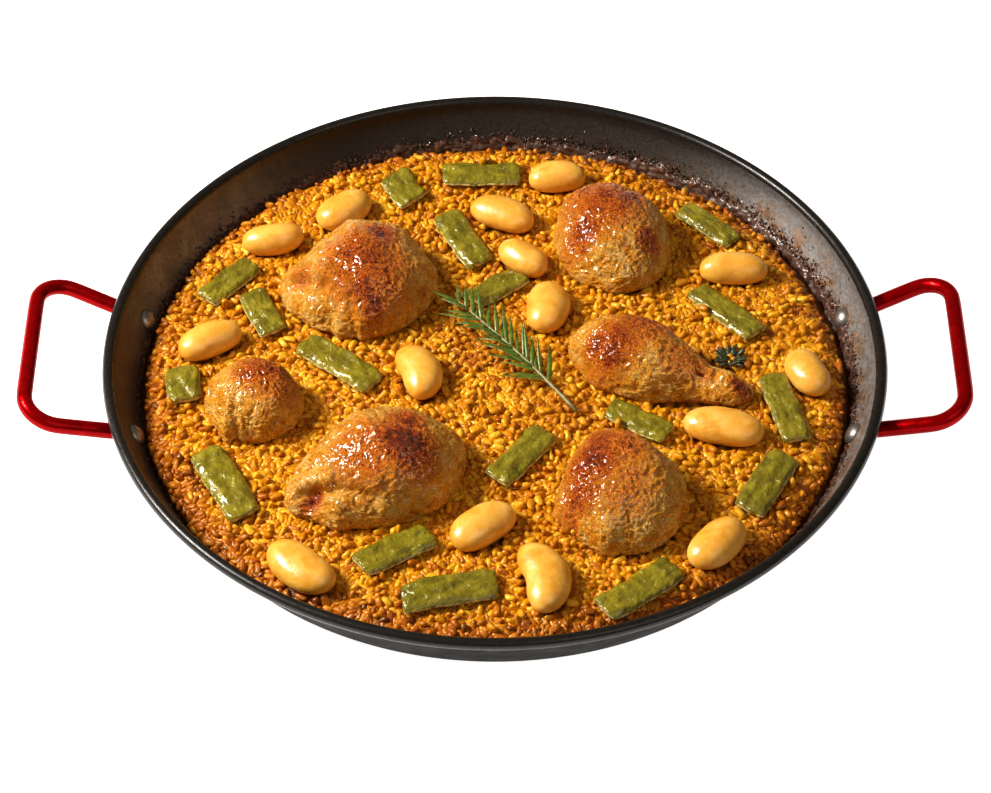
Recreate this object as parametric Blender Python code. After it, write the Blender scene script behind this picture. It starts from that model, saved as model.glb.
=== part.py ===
"""Paella in its own two-handled pan: rice, chicken, butter beans, flat green beans and herbs.

Metres, +Z up. The origin is on the ground under the middle of the pan, and the handles point
along +X and -X. Lengths in the tables are in millimetres and angles in degrees.
"""

import math

import bmesh
import bpy
import numpy as np
from mathutils import Matrix, Vector, noise

MM = 0.001

# Pan
RIM_RADIUS = 200.0
RIM_HEIGHT = 45.0
BEAD_RADIUS = 3.0
SHEET = 1.2
WALL_RADIUS = 186.3
WALL_HEIGHT = 25.0
WALL_SLOPE = 1.69
CORNER_RADIUS = 7.0
PAN_SEGMENTS = 56

# Rivets and handles: the head's centre is set by an angle from the X axis and a height
RIVET_ANGLE = 13.0
RIVET_HEIGHT = 24.5
RIVET_HOLE = 3.45
RIVET_SHANK = 3.0
RIVET_HEAD = 5.9
HANDLE_ROD = 4.2
HANDLE_REACH = 236.8
HANDLE_HEIGHT = 45.6
HANDLE_CORNER = 53.5
HANDLE_BEND = 16.0
LEG_SPREAD = 0.216
LEG_RISE = 0.37
TAB_HALF_WIDTH = 6.5
TAB_HALF_THICK = 1.5

# Rice and toppings
GAP = 0.35
RICE_TOP = 28.0
RICE_EDGE = 177.0
RICE_SEGMENTS = 40
SEAT = 31.0

# The toppings are laid out on a plan, which is drawn out a little from front to back
# and moved a little to the front to fill the pan.
PLAN_STRETCH = 1.016
PLAN_SHIFT = -0.8

# Chicken: name, x, y, heading of the narrow end, length, width, height above the seat,
# width profile and height profile from the blunt end to the narrow end.
CHICKEN = [
    ("chicken_thigh_back_left", -71, 60, 190, 85, 72, 31,
     [0.90, 1.06, 1.10, 1.02, 0.86], [0.72, 0.96, 1.06, 0.88, 0.60]),
    ("chicken_thigh_back_right", 62, 92, 112, 77, 61, 29,
     [0.94, 1.04, 1.04, 0.96, 0.82], [0.84, 0.96, 1.02, 1.02, 0.90]),
    ("chicken_small_piece", -122, -26, 180, 52, 50, 23,
     [0.98, 1.02, 1.02, 1.0, 0.95], [0.86, 1.0, 1.02, 1.0, 0.92]),
    ("chicken_thigh_front_left", -60, -76, 205, 97, 66, 32,
     [0.96, 1.08, 1.06, 0.92, 0.72], [0.80, 1.0, 1.04, 0.80, 0.52]),
    ("chicken_thigh_front_right", 61, -90, 104, 76, 66, 30,
     [1.02, 1.08, 1.02, 0.86, 0.66], [0.80, 0.94, 1.02, 1.06, 1.0]),
    ("chicken_drumstick", 85, -3, -23, 101, 50, 27,
     [1.00, 1.08, 0.88, 0.46, 0.66], [1.02, 1.12, 0.84, 0.46, 0.70]),
]
CHICKEN_DEPTH = 12.0
FLAT_BELOW = -0.62

# Folds pressed into the chicken: piece index, place along and across (from -1 to 1),
# reach in mm, push in mm (negative pushes inwards)
FOLDS = [
    (0, 0.72, -0.35, 16, -5.0),
    (0, 0.40, -0.78, 14, 3.0),
    (2, 0.30, -0.75, 9, -3.0),
    (3, 0.78, -0.30, 15, -6.0),
    (3, 0.45, -0.85, 16, 3.5),
]

# Butter beans: x, y, heading, length, width, bend
BUTTER_BEANS = [
    (-81, 118, 40, 33, 21, 0.0),
    (-118, 95, 12, 33, 18, 0.0),
    (-147, 19, 30, 35, 20, 0.0),
    (-39, -4, 108, 36, 22, 2.5),
    (4, 114, -25, 36, 20, 0.0),
    (34, 144, 4, 31, 19, 0.0),
    (15, 80, -40, 30, 18, 0.0),
    (28, 43, 84, 34, 23, 0.0),
    (126, 72, -2, 36, 19, 0.0),
    (160, -5, -65, 31, 20, 0.0),
    (115, -43, -14, 41, 22, 0.0),
    (108, -121, 50, 36, 22, 0.0),
    (-6, -110, 38, 37, 22, 0.0),
    (23, -143, 102, 43, 24, 4.0),
    (-94, -136, -42, 40, 23, 0.0),
]
BUTTER_BEAN_HALF_HEIGHT = 8.4
BUTTER_BEAN_CENTRE = 32.2

# Flat green beans: x, y, heading, length, width, slant of the cut ends
GREEN_BEANS = [
    (-140, 65, 51, 36, 15, 1),
    (-121, 41, -66, 33, 15, -2),
    (-159, -11, -80, 24, 17, -2),
    (-49, 137, -62, 25, 19, -4),
    (-7, 148, 1, 42, 17, 0),
    (-17, 97, -64, 44, 16, -2),
    (0, 59, 37, 32, 15, -5),
    (-80, 4, -39, 48, 17, 0),
    (-134, -79, -62, 50, 18, -2),
    (-49, -124, 31, 40, 17, -1),
    (-22, -150, 12, 47, 19, 2),
    (13, -61, 52, 42, 16, 1),
    (73, -37, -33, 35, 15, -1),
    (114, 107, -45, 38, 13, 0),
    (121, 41, -49, 45, 15, 1),
    (147, -28, -77, 48, 15, 0),
    (135, -80, 61, 43, 17, 2),
    (69, -149, 38, 45, 17, 0),
]
GREEN_BEAN_THICKNESS = 3.6
GREEN_BEAN_BOTTOM = 29.2

# Rosemary sprig: leafy tip and cut end
ROSEMARY_TIP = (-18.0, 41.0)
ROSEMARY_END = (41.0, -32.0)
ROSEMARY_HEIGHT = 34.5
ROSEMARY_PAIRS = 9
NEEDLE_LENGTH = 17.0

HERB_TUFT = (121.5, 9.5, 20.0, 17.0, 5.5)


def clear_scene():
    for obj in list(bpy.data.objects):
        bpy.data.objects.remove(obj, do_unlink=True)


def make_material(name, colour, roughness, metallic=0.0):
    material = bpy.data.materials.new(name)
    material.use_nodes = True
    shader = material.node_tree.nodes["Principled BSDF"]
    shader.inputs["Base Color"].default_value = (*colour, 1.0)
    shader.inputs["Roughness"].default_value = roughness
    shader.inputs["Metallic"].default_value = metallic
    material.diffuse_color = (*colour, 1.0)
    return material


def add_object(name, bm, material, smooth_angle=40.0):
    """Close the bmesh into a named object, in metres and facing out."""
    bmesh.ops.remove_doubles(bm, verts=bm.verts, dist=1e-4)
    bmesh.ops.dissolve_limit(bm, angle_limit=math.radians(0.5), verts=bm.verts, edges=bm.edges)
    bmesh.ops.recalc_face_normals(bm, faces=bm.faces)
    bmesh.ops.scale(bm, vec=(MM, MM, MM), verts=bm.verts)
    mesh = bpy.data.meshes.new(name)
    bm.to_mesh(mesh)
    bm.free()
    mesh.shade_smooth()
    mesh.set_sharp_from_angle(angle=math.radians(smooth_angle))
    obj = bpy.data.objects.new(name, mesh)
    bpy.context.scene.collection.objects.link(obj)
    if material:
        obj.data.materials.append(material)
    return obj


def add_cutter(name, bm):
    cutter = add_object(name, bm, None)
    cutter.hide_render = True
    cutter.display_type = 'WIRE'
    return cutter


def cut(obj, cutter):
    modifier = obj.modifiers.new("cut_" + cutter.name, 'BOOLEAN')
    modifier.operation = 'DIFFERENCE'
    modifier.object = cutter


def grow_ring(bm, ring):
    """Extrude a closed ring of vertices and give the new ring in the same order."""
    count = len(ring)
    edges = [bm.edges.get((ring[k], ring[(k + 1) % count])) for k in range(count)]
    grown = bmesh.ops.extrude_edge_only(bm, edges=edges)["geom"]
    new_verts = {v for v in grown if isinstance(v, bmesh.types.BMVert)}
    partners = []
    for vert in ring:
        partners.append(next(e.other_vert(vert) for e in vert.link_edges if e.other_vert(vert) in new_verts))
    return partners


def wall_inside(z):
    """Radius of the wall's inside at a height."""
    return WALL_RADIUS + (z - WALL_HEIGHT) / WALL_SLOPE


def wall_outside(z):
    return wall_inside(z) + SHEET * math.hypot(1.0, WALL_SLOPE) / WALL_SLOPE


def corner_arc(centre, radius, start, end, steps):
    points = []
    for i in range(steps + 1):
        angle = math.radians(start + (end - start) * i / steps)
        points.append((centre[0] + radius * math.cos(angle), centre[1] + radius * math.sin(angle)))
    return points


def pan_profile():
    """Half section of the pan, from the middle of the cooking face round to the underside."""
    slope = math.degrees(math.atan(WALL_SLOPE))
    inner_radius = CORNER_RADIUS
    inner_centre_z = SHEET + inner_radius
    reach = inner_radius * math.tan(math.radians(slope / 2))
    inner_centre_r = wall_inside(SHEET) - reach
    bead_z = RIM_HEIGHT - BEAD_RADIUS
    bead_r = RIM_RADIUS - BEAD_RADIUS
    profile = [(0.0, SHEET)]
    profile += corner_arc((inner_centre_r, inner_centre_z), inner_radius, -90, slope - 90, 2)
    profile += [(wall_inside(37.6), 37.6)]
    profile += corner_arc((bead_r, bead_z), BEAD_RADIUS, 180, -90, 6)
    profile += [(wall_outside(38.6), 38.6)]
    profile += corner_arc((inner_centre_r, inner_centre_z), inner_radius + SHEET, slope - 90, -90, 2)
    profile += [(0.0, 0.0)]
    return profile


def spin_profile(profile, segments):
    """Turn a half section about the Z axis."""
    bm = bmesh.new()
    verts = [bm.verts.new((r, 0.0, z)) for r, z in profile]
    edges = [bm.edges.new(pair) for pair in zip(verts, verts[1:])]
    bmesh.ops.spin(bm, geom=verts + edges, cent=(0, 0, 0), axis=(0, 0, 1), steps=segments,
                   angle=math.tau, use_merge=True)
    return bm


def rivet_frame(side, up):
    """Frame at a rivet: +Z points along its axis into the pan, from the wall's inside."""
    angle = math.radians(RIVET_ANGLE * up)
    if side < 0:
        angle = math.pi - angle
    radial = Vector((math.cos(angle), math.sin(angle), 0.0))
    along_wall = (radial + Vector((0, 0, WALL_SLOPE))).normalized()
    inward = (Vector((0, 0, 1.0)) - radial * WALL_SLOPE).normalized()
    across = along_wall.cross(inward)
    place = radial * wall_inside(RIVET_HEIGHT) + Vector((0, 0, RIVET_HEIGHT))
    frame = Matrix((along_wall, across, inward)).transposed().to_4x4()
    frame.translation = place
    return frame


def rivet_places():
    for side, side_name in ((-1, "left"), (1, "right")):
        for up, up_name in ((1, "back"), (-1, "front")):
            yield side_name, up_name, rivet_frame(side, up)


def rod_cutter(name, frame, radius, low, high):
    bm = bmesh.new()
    bmesh.ops.create_cone(bm, cap_ends=True, segments=12, radius1=radius, radius2=radius,
                          depth=high - low, matrix=frame @ Matrix.Translation((0, 0, (low + high) / 2)))
    return add_cutter(name, bm)


def make_pan(material):
    pan = add_object("pan", spin_profile(pan_profile(), PAN_SEGMENTS), material)
    for side_name, up_name, frame in rivet_places():
        cut(pan, rod_cutter("pan_hole_" + side_name + "_" + up_name, frame, RIVET_HOLE, -5.0, 4.0))
    return pan


def make_rivets(material):
    """A domed head inside, a shank through wall and tab, and a flatter head outside."""
    back = -(SHEET + 0.3 + 2 * TAB_HALF_THICK + 0.3)
    profile = [(0.0, 3.1), (3.6, 2.5), (RIVET_HEAD, GAP + 0.2), (RIVET_SHANK, GAP + 0.2),
               (RIVET_SHANK, back - 0.3), (4.6, back - 0.3), (3.6, back - 1.6), (0.0, back - 1.9)]
    for side_name, up_name, frame in rivet_places():
        bm = spin_profile(profile, 8)
        bmesh.ops.transform(bm, matrix=frame, verts=bm.verts)
        add_object("rivet_" + side_name + "_" + up_name, bm, material)


def handle_stations():
    """Centre, thickness direction and half sizes along one half of the right handle."""
    frame = rivet_frame(1, 1)
    up = frame.col[0].to_3d()
    inward = frame.col[2].to_3d()
    offset = -(SHEET + 0.3 + TAB_HALF_THICK)
    rivet = frame.translation + inward * offset
    leg_direction = Vector((1.0, LEG_SPREAD, LEG_RISE))
    corner = Vector((HANDLE_REACH, HANDLE_CORNER, HANDLE_HEIGHT))
    stations = []
    for along, half_width in ((-9.5, 3.4), (-8.0, 5.2), (-4.5, TAB_HALF_WIDTH), (4.0, TAB_HALF_WIDTH)):
        stations.append((rivet + up * along, inward, half_width, TAB_HALF_THICK))
    leg_start = corner - leg_direction * (HANDLE_REACH - 191.5)
    leg_thickness = (inward + Vector((0, 0, 1))).normalized()
    middle = (rivet + up * 6.5).lerp(leg_start, 0.40)
    stations.append((middle, leg_thickness, 5.4, 2.9))
    stations.append((leg_start, Vector((0, 0, 1)), HANDLE_ROD, HANDLE_ROD))
    into_leg = -leg_direction.normalized()
    bar_direction = Vector((0, -1, 0))
    bend_angle = into_leg.angle(bar_direction)
    tangent = HANDLE_BEND / math.tan(bend_angle / 2)
    bisector = (into_leg + bar_direction).normalized()
    centre = corner + bisector * math.hypot(HANDLE_BEND, tangent)
    start = (corner + into_leg * tangent - centre).normalized()
    finish = (corner + bar_direction * tangent - centre).normalized()
    for i in range(6):
        point = centre + start.slerp(finish, i / 5) * HANDLE_BEND
        stations.append((point, Vector((0, 0, 1)), HANDLE_ROD, HANDLE_ROD))
    return stations


def make_handle(name, side, material, sides=8):
    """Sweep the flattened tabs and the round rod from one rivet to the other."""
    half = handle_stations()
    mirror = Matrix.Diagonal((1, -1, 1))
    other = [(mirror @ place, mirror @ thick, w, t) for place, thick, w, t in reversed(half)]
    stations = half + other
    bm = bmesh.new()
    start = bmesh.ops.create_circle(bm, cap_ends=True, radius=1.0, segments=sides)
    ring = list(start["verts"])
    for i, (place, thick, half_width, half_thick) in enumerate(stations):
        before = stations[max(i - 1, 0)][0]
        after = stations[min(i + 1, len(stations) - 1)][0]
        along = (after - before).normalized()
        across = along.cross(thick).normalized()
        lift = across.cross(along).normalized()
        if i:
            ring = grow_ring(bm, ring)
        for k, vert in enumerate(ring):
            angle = math.tau * k / sides
            vert.co = place + across * half_width * math.cos(angle) + lift * half_thick * math.sin(angle)
    bm.faces.new(ring)
    if side < 0:
        bmesh.ops.scale(bm, vec=(-1, 1, 1), verts=bm.verts)
    handle = add_object("handle_" + name, bm, material)
    for side_name, up_name, frame in rivet_places():
        if side_name == name:
            cut(handle, rod_cutter("tab_hole_" + side_name + "_" + up_name, frame, RIVET_HOLE, -9.0, 1.0))
    return handle


def on_plan(x, y, height):
    """Where a place on the plan lies in the pan."""
    return Vector((x, y * PLAN_STRETCH + PLAN_SHIFT, height))


def profile_at(values, s):
    return float(np.interp(s, np.linspace(0, 1, len(values)), values))


def chicken_shape(index, grow=0.0):
    """A ball drawn out along its length, with the folds of the skin pressed in."""
    name, x, y, heading, length, width, height, widths, heights = CHICKEN[index]
    bm = bmesh.new()
    bmesh.ops.create_icosphere(bm, subdivisions=3, radius=1.0)
    for vert in bm.verts:
        u, v, w = vert.co
        w = max(w, FLAT_BELOW)
        s = (u + 1) / 2
        tall = height * profile_at(heights, s) if w > 0 else CHICKEN_DEPTH
        place = Vector((u * length / 2, v * width / 2 * profile_at(widths, s), w * tall))
        away = Vector((u / length, v / width, w / max(tall, 1) / 2)).normalized()
        for fold_index, along, across, reach, push in FOLDS:
            if fold_index == index and w > -0.2:
                distance = math.hypot(u * length / 2 - along * length / 2, v * width / 2 - across * width / 2)
                if distance < reach:
                    place += away * push * (math.cos(math.pi * distance / reach) + 1) / 2
        vert.co = place + away * grow
    turn = Matrix.Rotation(math.radians(heading), 4, 'Z')
    bmesh.ops.transform(bm, matrix=Matrix.Translation(on_plan(x, y, SEAT)) @ turn, verts=bm.verts)
    return bm


def butter_bean_shape(index, grow=0.0):
    x, y, heading, length, width, bend = BUTTER_BEANS[index]
    bm = bmesh.new()
    bmesh.ops.create_icosphere(bm, subdivisions=2, radius=1.0)
    for vert in bm.verts:
        u, v, w = vert.co
        w = max(w, FLAT_BELOW)
        full = (1 - abs(u) ** 4) ** 0.12
        vert.co = (u * (length / 2 + grow), v * full * (width / 2 + grow) + bend * (u * u - 0.4),
                   w * full * (BUTTER_BEAN_HALF_HEIGHT + grow))
    turn = Matrix.Rotation(math.radians(heading), 4, 'Z')
    place = Matrix.Translation(on_plan(x, y, BUTTER_BEAN_CENTRE))
    bmesh.ops.transform(bm, matrix=place @ turn, verts=bm.verts)
    return bm


def green_bean_shape(index):
    """A flat pod cut across at both ends, gently waved on top."""
    x, y, heading, length, width, slant = GREEN_BEANS[index]
    bm = bmesh.new()
    bmesh.ops.create_grid(bm, x_segments=4, y_segments=2, size=0.5)
    top = bmesh.ops.extrude_face_region(bm, geom=list(bm.faces))["geom"]
    bmesh.ops.translate(bm, vec=(0, 0, 1), verts=[v for v in top if isinstance(v, bmesh.types.BMVert)])
    for vert in bm.verts:
        u, v, w = vert.co
        thick = GREEN_BEAN_THICKNESS * (1 - 0.35 * abs(2 * v) ** 2)
        wave = 0.4 * math.sin(7 * u + index) + 0.3 * math.sin(5 * v + 2 * index)
        vert.co = (u * length + v * slant, v * width, w * (thick + wave))
    turn = Matrix.Rotation(math.radians(heading), 4, 'Z')
    place = Matrix.Translation(on_plan(x, y, GREEN_BEAN_BOTTOM))
    bmesh.ops.transform(bm, matrix=place @ turn, verts=bm.verts)
    return bm


def herb_tuft_shape(grow=0.0):
    x, y, length, width, half_height = HERB_TUFT
    bm = bmesh.new()
    bmesh.ops.create_icosphere(bm, subdivisions=2, radius=1.0)
    for vert in bm.verts:
        ruffle = 1.0 + 0.22 * noise.noise(vert.co * 2.3)
        u, v, w = vert.co * ruffle
        vert.co = (u * (length / 2 + grow), v * (width / 2 + grow), w * (half_height + grow))
    bmesh.ops.translate(bm, vec=on_plan(x, y, RICE_TOP + 1.0), verts=bm.verts)
    return bm


def rice_rings():
    """Radius, height and unevenness of the rings from the middle of the top to the base."""
    clear = 0.8
    corner = wall_inside(SHEET) - CORNER_RADIUS / 2
    return [(45, RICE_TOP + 0.2, 0.5), (92, RICE_TOP + 0.1, 0.6), (132, RICE_TOP, 0.6),
            (165, RICE_TOP - 0.4, 0.6), (RICE_EDGE - 1.0, RICE_TOP - 2.6, 0.4),
            (wall_inside(20.5) - 1.6, 20.5, 0.0),
            (wall_inside(8.0) - clear, 8.0, 0.0), (corner - 3.0, SHEET + clear - 0.2, 0.0)]


def make_rice(material):
    """The packed rice, with a hollow left where each topping sits in it."""
    bm = bmesh.new()
    start = bmesh.ops.create_circle(bm, cap_ends=True, cap_tris=True, radius=1.0, segments=RICE_SEGMENTS)
    rim = [v for v in start["verts"] if v.co.length > 0.5]
    rim.sort(key=lambda v: math.atan2(v.co.y, v.co.x))
    ring = rim
    for i, (radius, height, rough) in enumerate(rice_rings()):
        if i:
            ring = grow_ring(bm, ring)
        for k, vert in enumerate(ring):
            angle = math.tau * k / RICE_SEGMENTS
            lift = rough * noise.noise(Vector((math.cos(angle), math.sin(angle), i)) * 2.5)
            wobble = rough * 1.8 * noise.noise(Vector((3 * math.cos(angle), 3 * math.sin(angle), 9.0)))
            out = radius + wobble
            vert.co = (out * math.cos(angle), out * math.sin(angle), height + lift)
    centre = [v for v in bm.verts if v.co.length < 1.0]
    for vert in centre:
        vert.co = (0, 0, RICE_TOP + 0.3)
    bm.faces.new(ring)
    rice = add_object("rice", bm, material)
    for index in range(len(CHICKEN)):
        cut(rice, add_cutter("hollow_chicken_" + str(index), chicken_shape(index, GAP + 0.1)))
    for index in range(len(BUTTER_BEANS)):
        cut(rice, add_cutter("hollow_butter_bean_" + str(index), butter_bean_shape(index, GAP + 0.1)))
    cut(rice, add_cutter("hollow_herb_tuft", herb_tuft_shape(GAP + 0.1)))
    return rice


def spike(start, end, radius, sides=3):
    """A needle or a stem: a cone from start to end with a blunt tip."""
    axis = end - start
    turn = axis.to_track_quat('Z', 'Y').to_matrix().to_4x4()
    matrix = Matrix.Translation((start + end) / 2) @ turn
    bm = bmesh.new()
    bmesh.ops.create_cone(bm, cap_ends=True, segments=sides, radius1=radius, radius2=radius * 0.35,
                          depth=axis.length, matrix=matrix)
    return bm


def make_rosemary(material):
    """A woody stem with pairs of needles that lean towards the tip, in one union."""
    tip = on_plan(*ROSEMARY_TIP, ROSEMARY_HEIGHT)
    end = on_plan(*ROSEMARY_END, ROSEMARY_HEIGHT + 1.0)
    along = (tip - end).normalized()
    across = along.cross(Vector((0, 0, 1)))
    sprig = add_object("rosemary_sprig", spike(end, tip, 0.9, 5), material)
    for i in range(ROSEMARY_PAIRS):
        s = 0.30 + 0.66 * i / (ROSEMARY_PAIRS - 1)
        root = end.lerp(tip, s)
        reach = NEEDLE_LENGTH * (1.0 - 0.25 * abs(2 * s - 1.1))
        for side in (-1, 1):
            lean = 0.50 + 0.25 * s
            lift = 0.10 * side
            way = (along * lean + across * side * (1 - 0.45 * s) + Vector((0, 0, lift))).normalized()
            needle = add_cutter("needle_" + str(i) + "_" + str(side), spike(root, root + way * reach, 0.7))
            modifier = sprig.modifiers.new("join_" + needle.name, 'BOOLEAN')
            modifier.operation = 'UNION'
            modifier.object = needle
    return sprig


def make_toppings():
    skin = make_material("roast_chicken", (0.50, 0.21, 0.06), 0.35)
    cream = make_material("butter_bean", (0.78, 0.42, 0.10), 0.3)
    green = make_material("green_bean", (0.13, 0.16, 0.02), 0.35)
    herb = make_material("herb", (0.03, 0.06, 0.02), 0.6)
    for index, piece in enumerate(CHICKEN):
        add_object(piece[0], chicken_shape(index), skin)
    for index in range(len(BUTTER_BEANS)):
        add_object("butter_bean_" + format(index + 1, "02d"), butter_bean_shape(index), cream)
    for index in range(len(GREEN_BEANS)):
        add_object("green_bean_" + format(index + 1, "02d"), green_bean_shape(index), green, 30.0)
    add_object("herb_tuft", herb_tuft_shape(), herb)
    make_rosemary(herb)


def main():
    clear_scene()
    steel = make_material("pan_steel", (0.06, 0.06, 0.065), 0.4, 0.9)
    enamel = make_material("red_enamel", (0.50, 0.0, 0.01), 0.2)
    zinc = make_material("rivet_steel", (0.35, 0.33, 0.31), 0.35, 1.0)
    grain = make_material("rice", (0.70, 0.30, 0.02), 0.35)
    make_pan(steel)
    make_rivets(zinc)
    make_handle("left", -1, enamel)
    make_handle("right", 1, enamel)
    make_rice(grain)
    make_toppings()


main()
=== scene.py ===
# %% [markdown]
# # A paella in its pan
# This lesson dresses a plain model of a paella: a shallow steel pan with two red handles, a bed of
# rice, six pieces of roast chicken, butter beans, flat green beans and herbs. The plain model
# fixes every size and place. Each step below builds one kind of real thing over it.

# %% Load the plain model
import math

import bmesh
import bpy
import numpy as np
from mathutils import Matrix, Vector, noise


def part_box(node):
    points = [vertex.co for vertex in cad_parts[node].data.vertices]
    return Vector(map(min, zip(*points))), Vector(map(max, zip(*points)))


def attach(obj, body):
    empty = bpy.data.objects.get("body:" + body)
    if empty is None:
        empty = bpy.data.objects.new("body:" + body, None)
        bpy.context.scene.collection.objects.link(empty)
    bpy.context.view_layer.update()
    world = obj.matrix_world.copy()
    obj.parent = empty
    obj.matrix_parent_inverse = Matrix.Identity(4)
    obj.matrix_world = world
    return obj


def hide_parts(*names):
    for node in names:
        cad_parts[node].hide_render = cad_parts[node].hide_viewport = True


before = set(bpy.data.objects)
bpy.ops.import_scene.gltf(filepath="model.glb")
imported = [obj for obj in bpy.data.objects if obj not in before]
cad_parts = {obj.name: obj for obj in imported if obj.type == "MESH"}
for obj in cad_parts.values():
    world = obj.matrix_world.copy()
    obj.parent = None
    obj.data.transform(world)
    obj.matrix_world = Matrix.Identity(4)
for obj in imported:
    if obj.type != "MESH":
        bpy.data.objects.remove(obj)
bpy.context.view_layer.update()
MM = 0.001
print("plain model:", len(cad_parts), "nodes")

# %% [markdown]
# ## Sizes read from the plain model
# The rim's radius and height come from the pan's own box, so every turned shape follows it. The
# wall is a straight cone below the rolled rim. Lengths are in millimetres from here on, because
# kitchen things are easier to think about that way, and each mesh is scaled to metres at its end.

# %% Driving sizes
pan_low, pan_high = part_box("pan")
RIM_RADIUS = pan_high.x / MM
RIM_HEIGHT = pan_high.z / MM
BEAD_RADIUS = 3.0
SHEET = 1.2
WALL_SLOPE = 1.69
WALL_RADIUS = RIM_RADIUS - 13.7
WALL_HEIGHT = 25.0
CORNER_RADIUS = 7.0
RICE_TOP = 28.0


def wall_inside(z):
    """Radius of the wall's inside at a height."""
    return WALL_RADIUS + (z - WALL_HEIGHT) / WALL_SLOPE


print("rim radius", round(RIM_RADIUS, 1), "mm, height", round(RIM_HEIGHT, 1), "mm")

# %% [markdown]
# ## From a bmesh to a finished piece
# Every piece ends the same way: doubled points are merged, faces are turned outwards, millimetres
# become metres, and the object rides on the model's one body and replaces the plain solids that it
# stands for. One helper does that, so that no piece can forget a step.

# %% The finishing helper


def finish_piece(bm, name, material, nodes, merge=0.001):
    """Turn a bmesh in millimetres into a smooth piece that replaces some plain nodes."""
    if merge:
        bmesh.ops.remove_doubles(bm, verts=bm.verts, dist=merge)
        bmesh.ops.recalc_face_normals(bm, faces=bm.faces)
    bmesh.ops.scale(bm, vec=(MM, MM, MM), verts=bm.verts)
    mesh = bpy.data.meshes.new(name)
    bm.to_mesh(mesh)
    bm.free()
    mesh.shade_smooth()
    piece = bpy.data.objects.new(name, mesh)
    bpy.context.scene.collection.objects.link(piece)
    mesh.materials.append(material)
    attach(piece, "root")
    if nodes:
        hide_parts(*nodes)
    return piece


# %% [markdown]
# ## Building materials from nodes
# A food surface is never one colour. These helpers keep each material short: one makes a new
# material, one adds a noise pattern in the piece's own space, one maps a pattern to colours, one
# mixes two colours and one adds relief. Values that are the same all over stay on the shader.

# %% Material helpers


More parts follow.
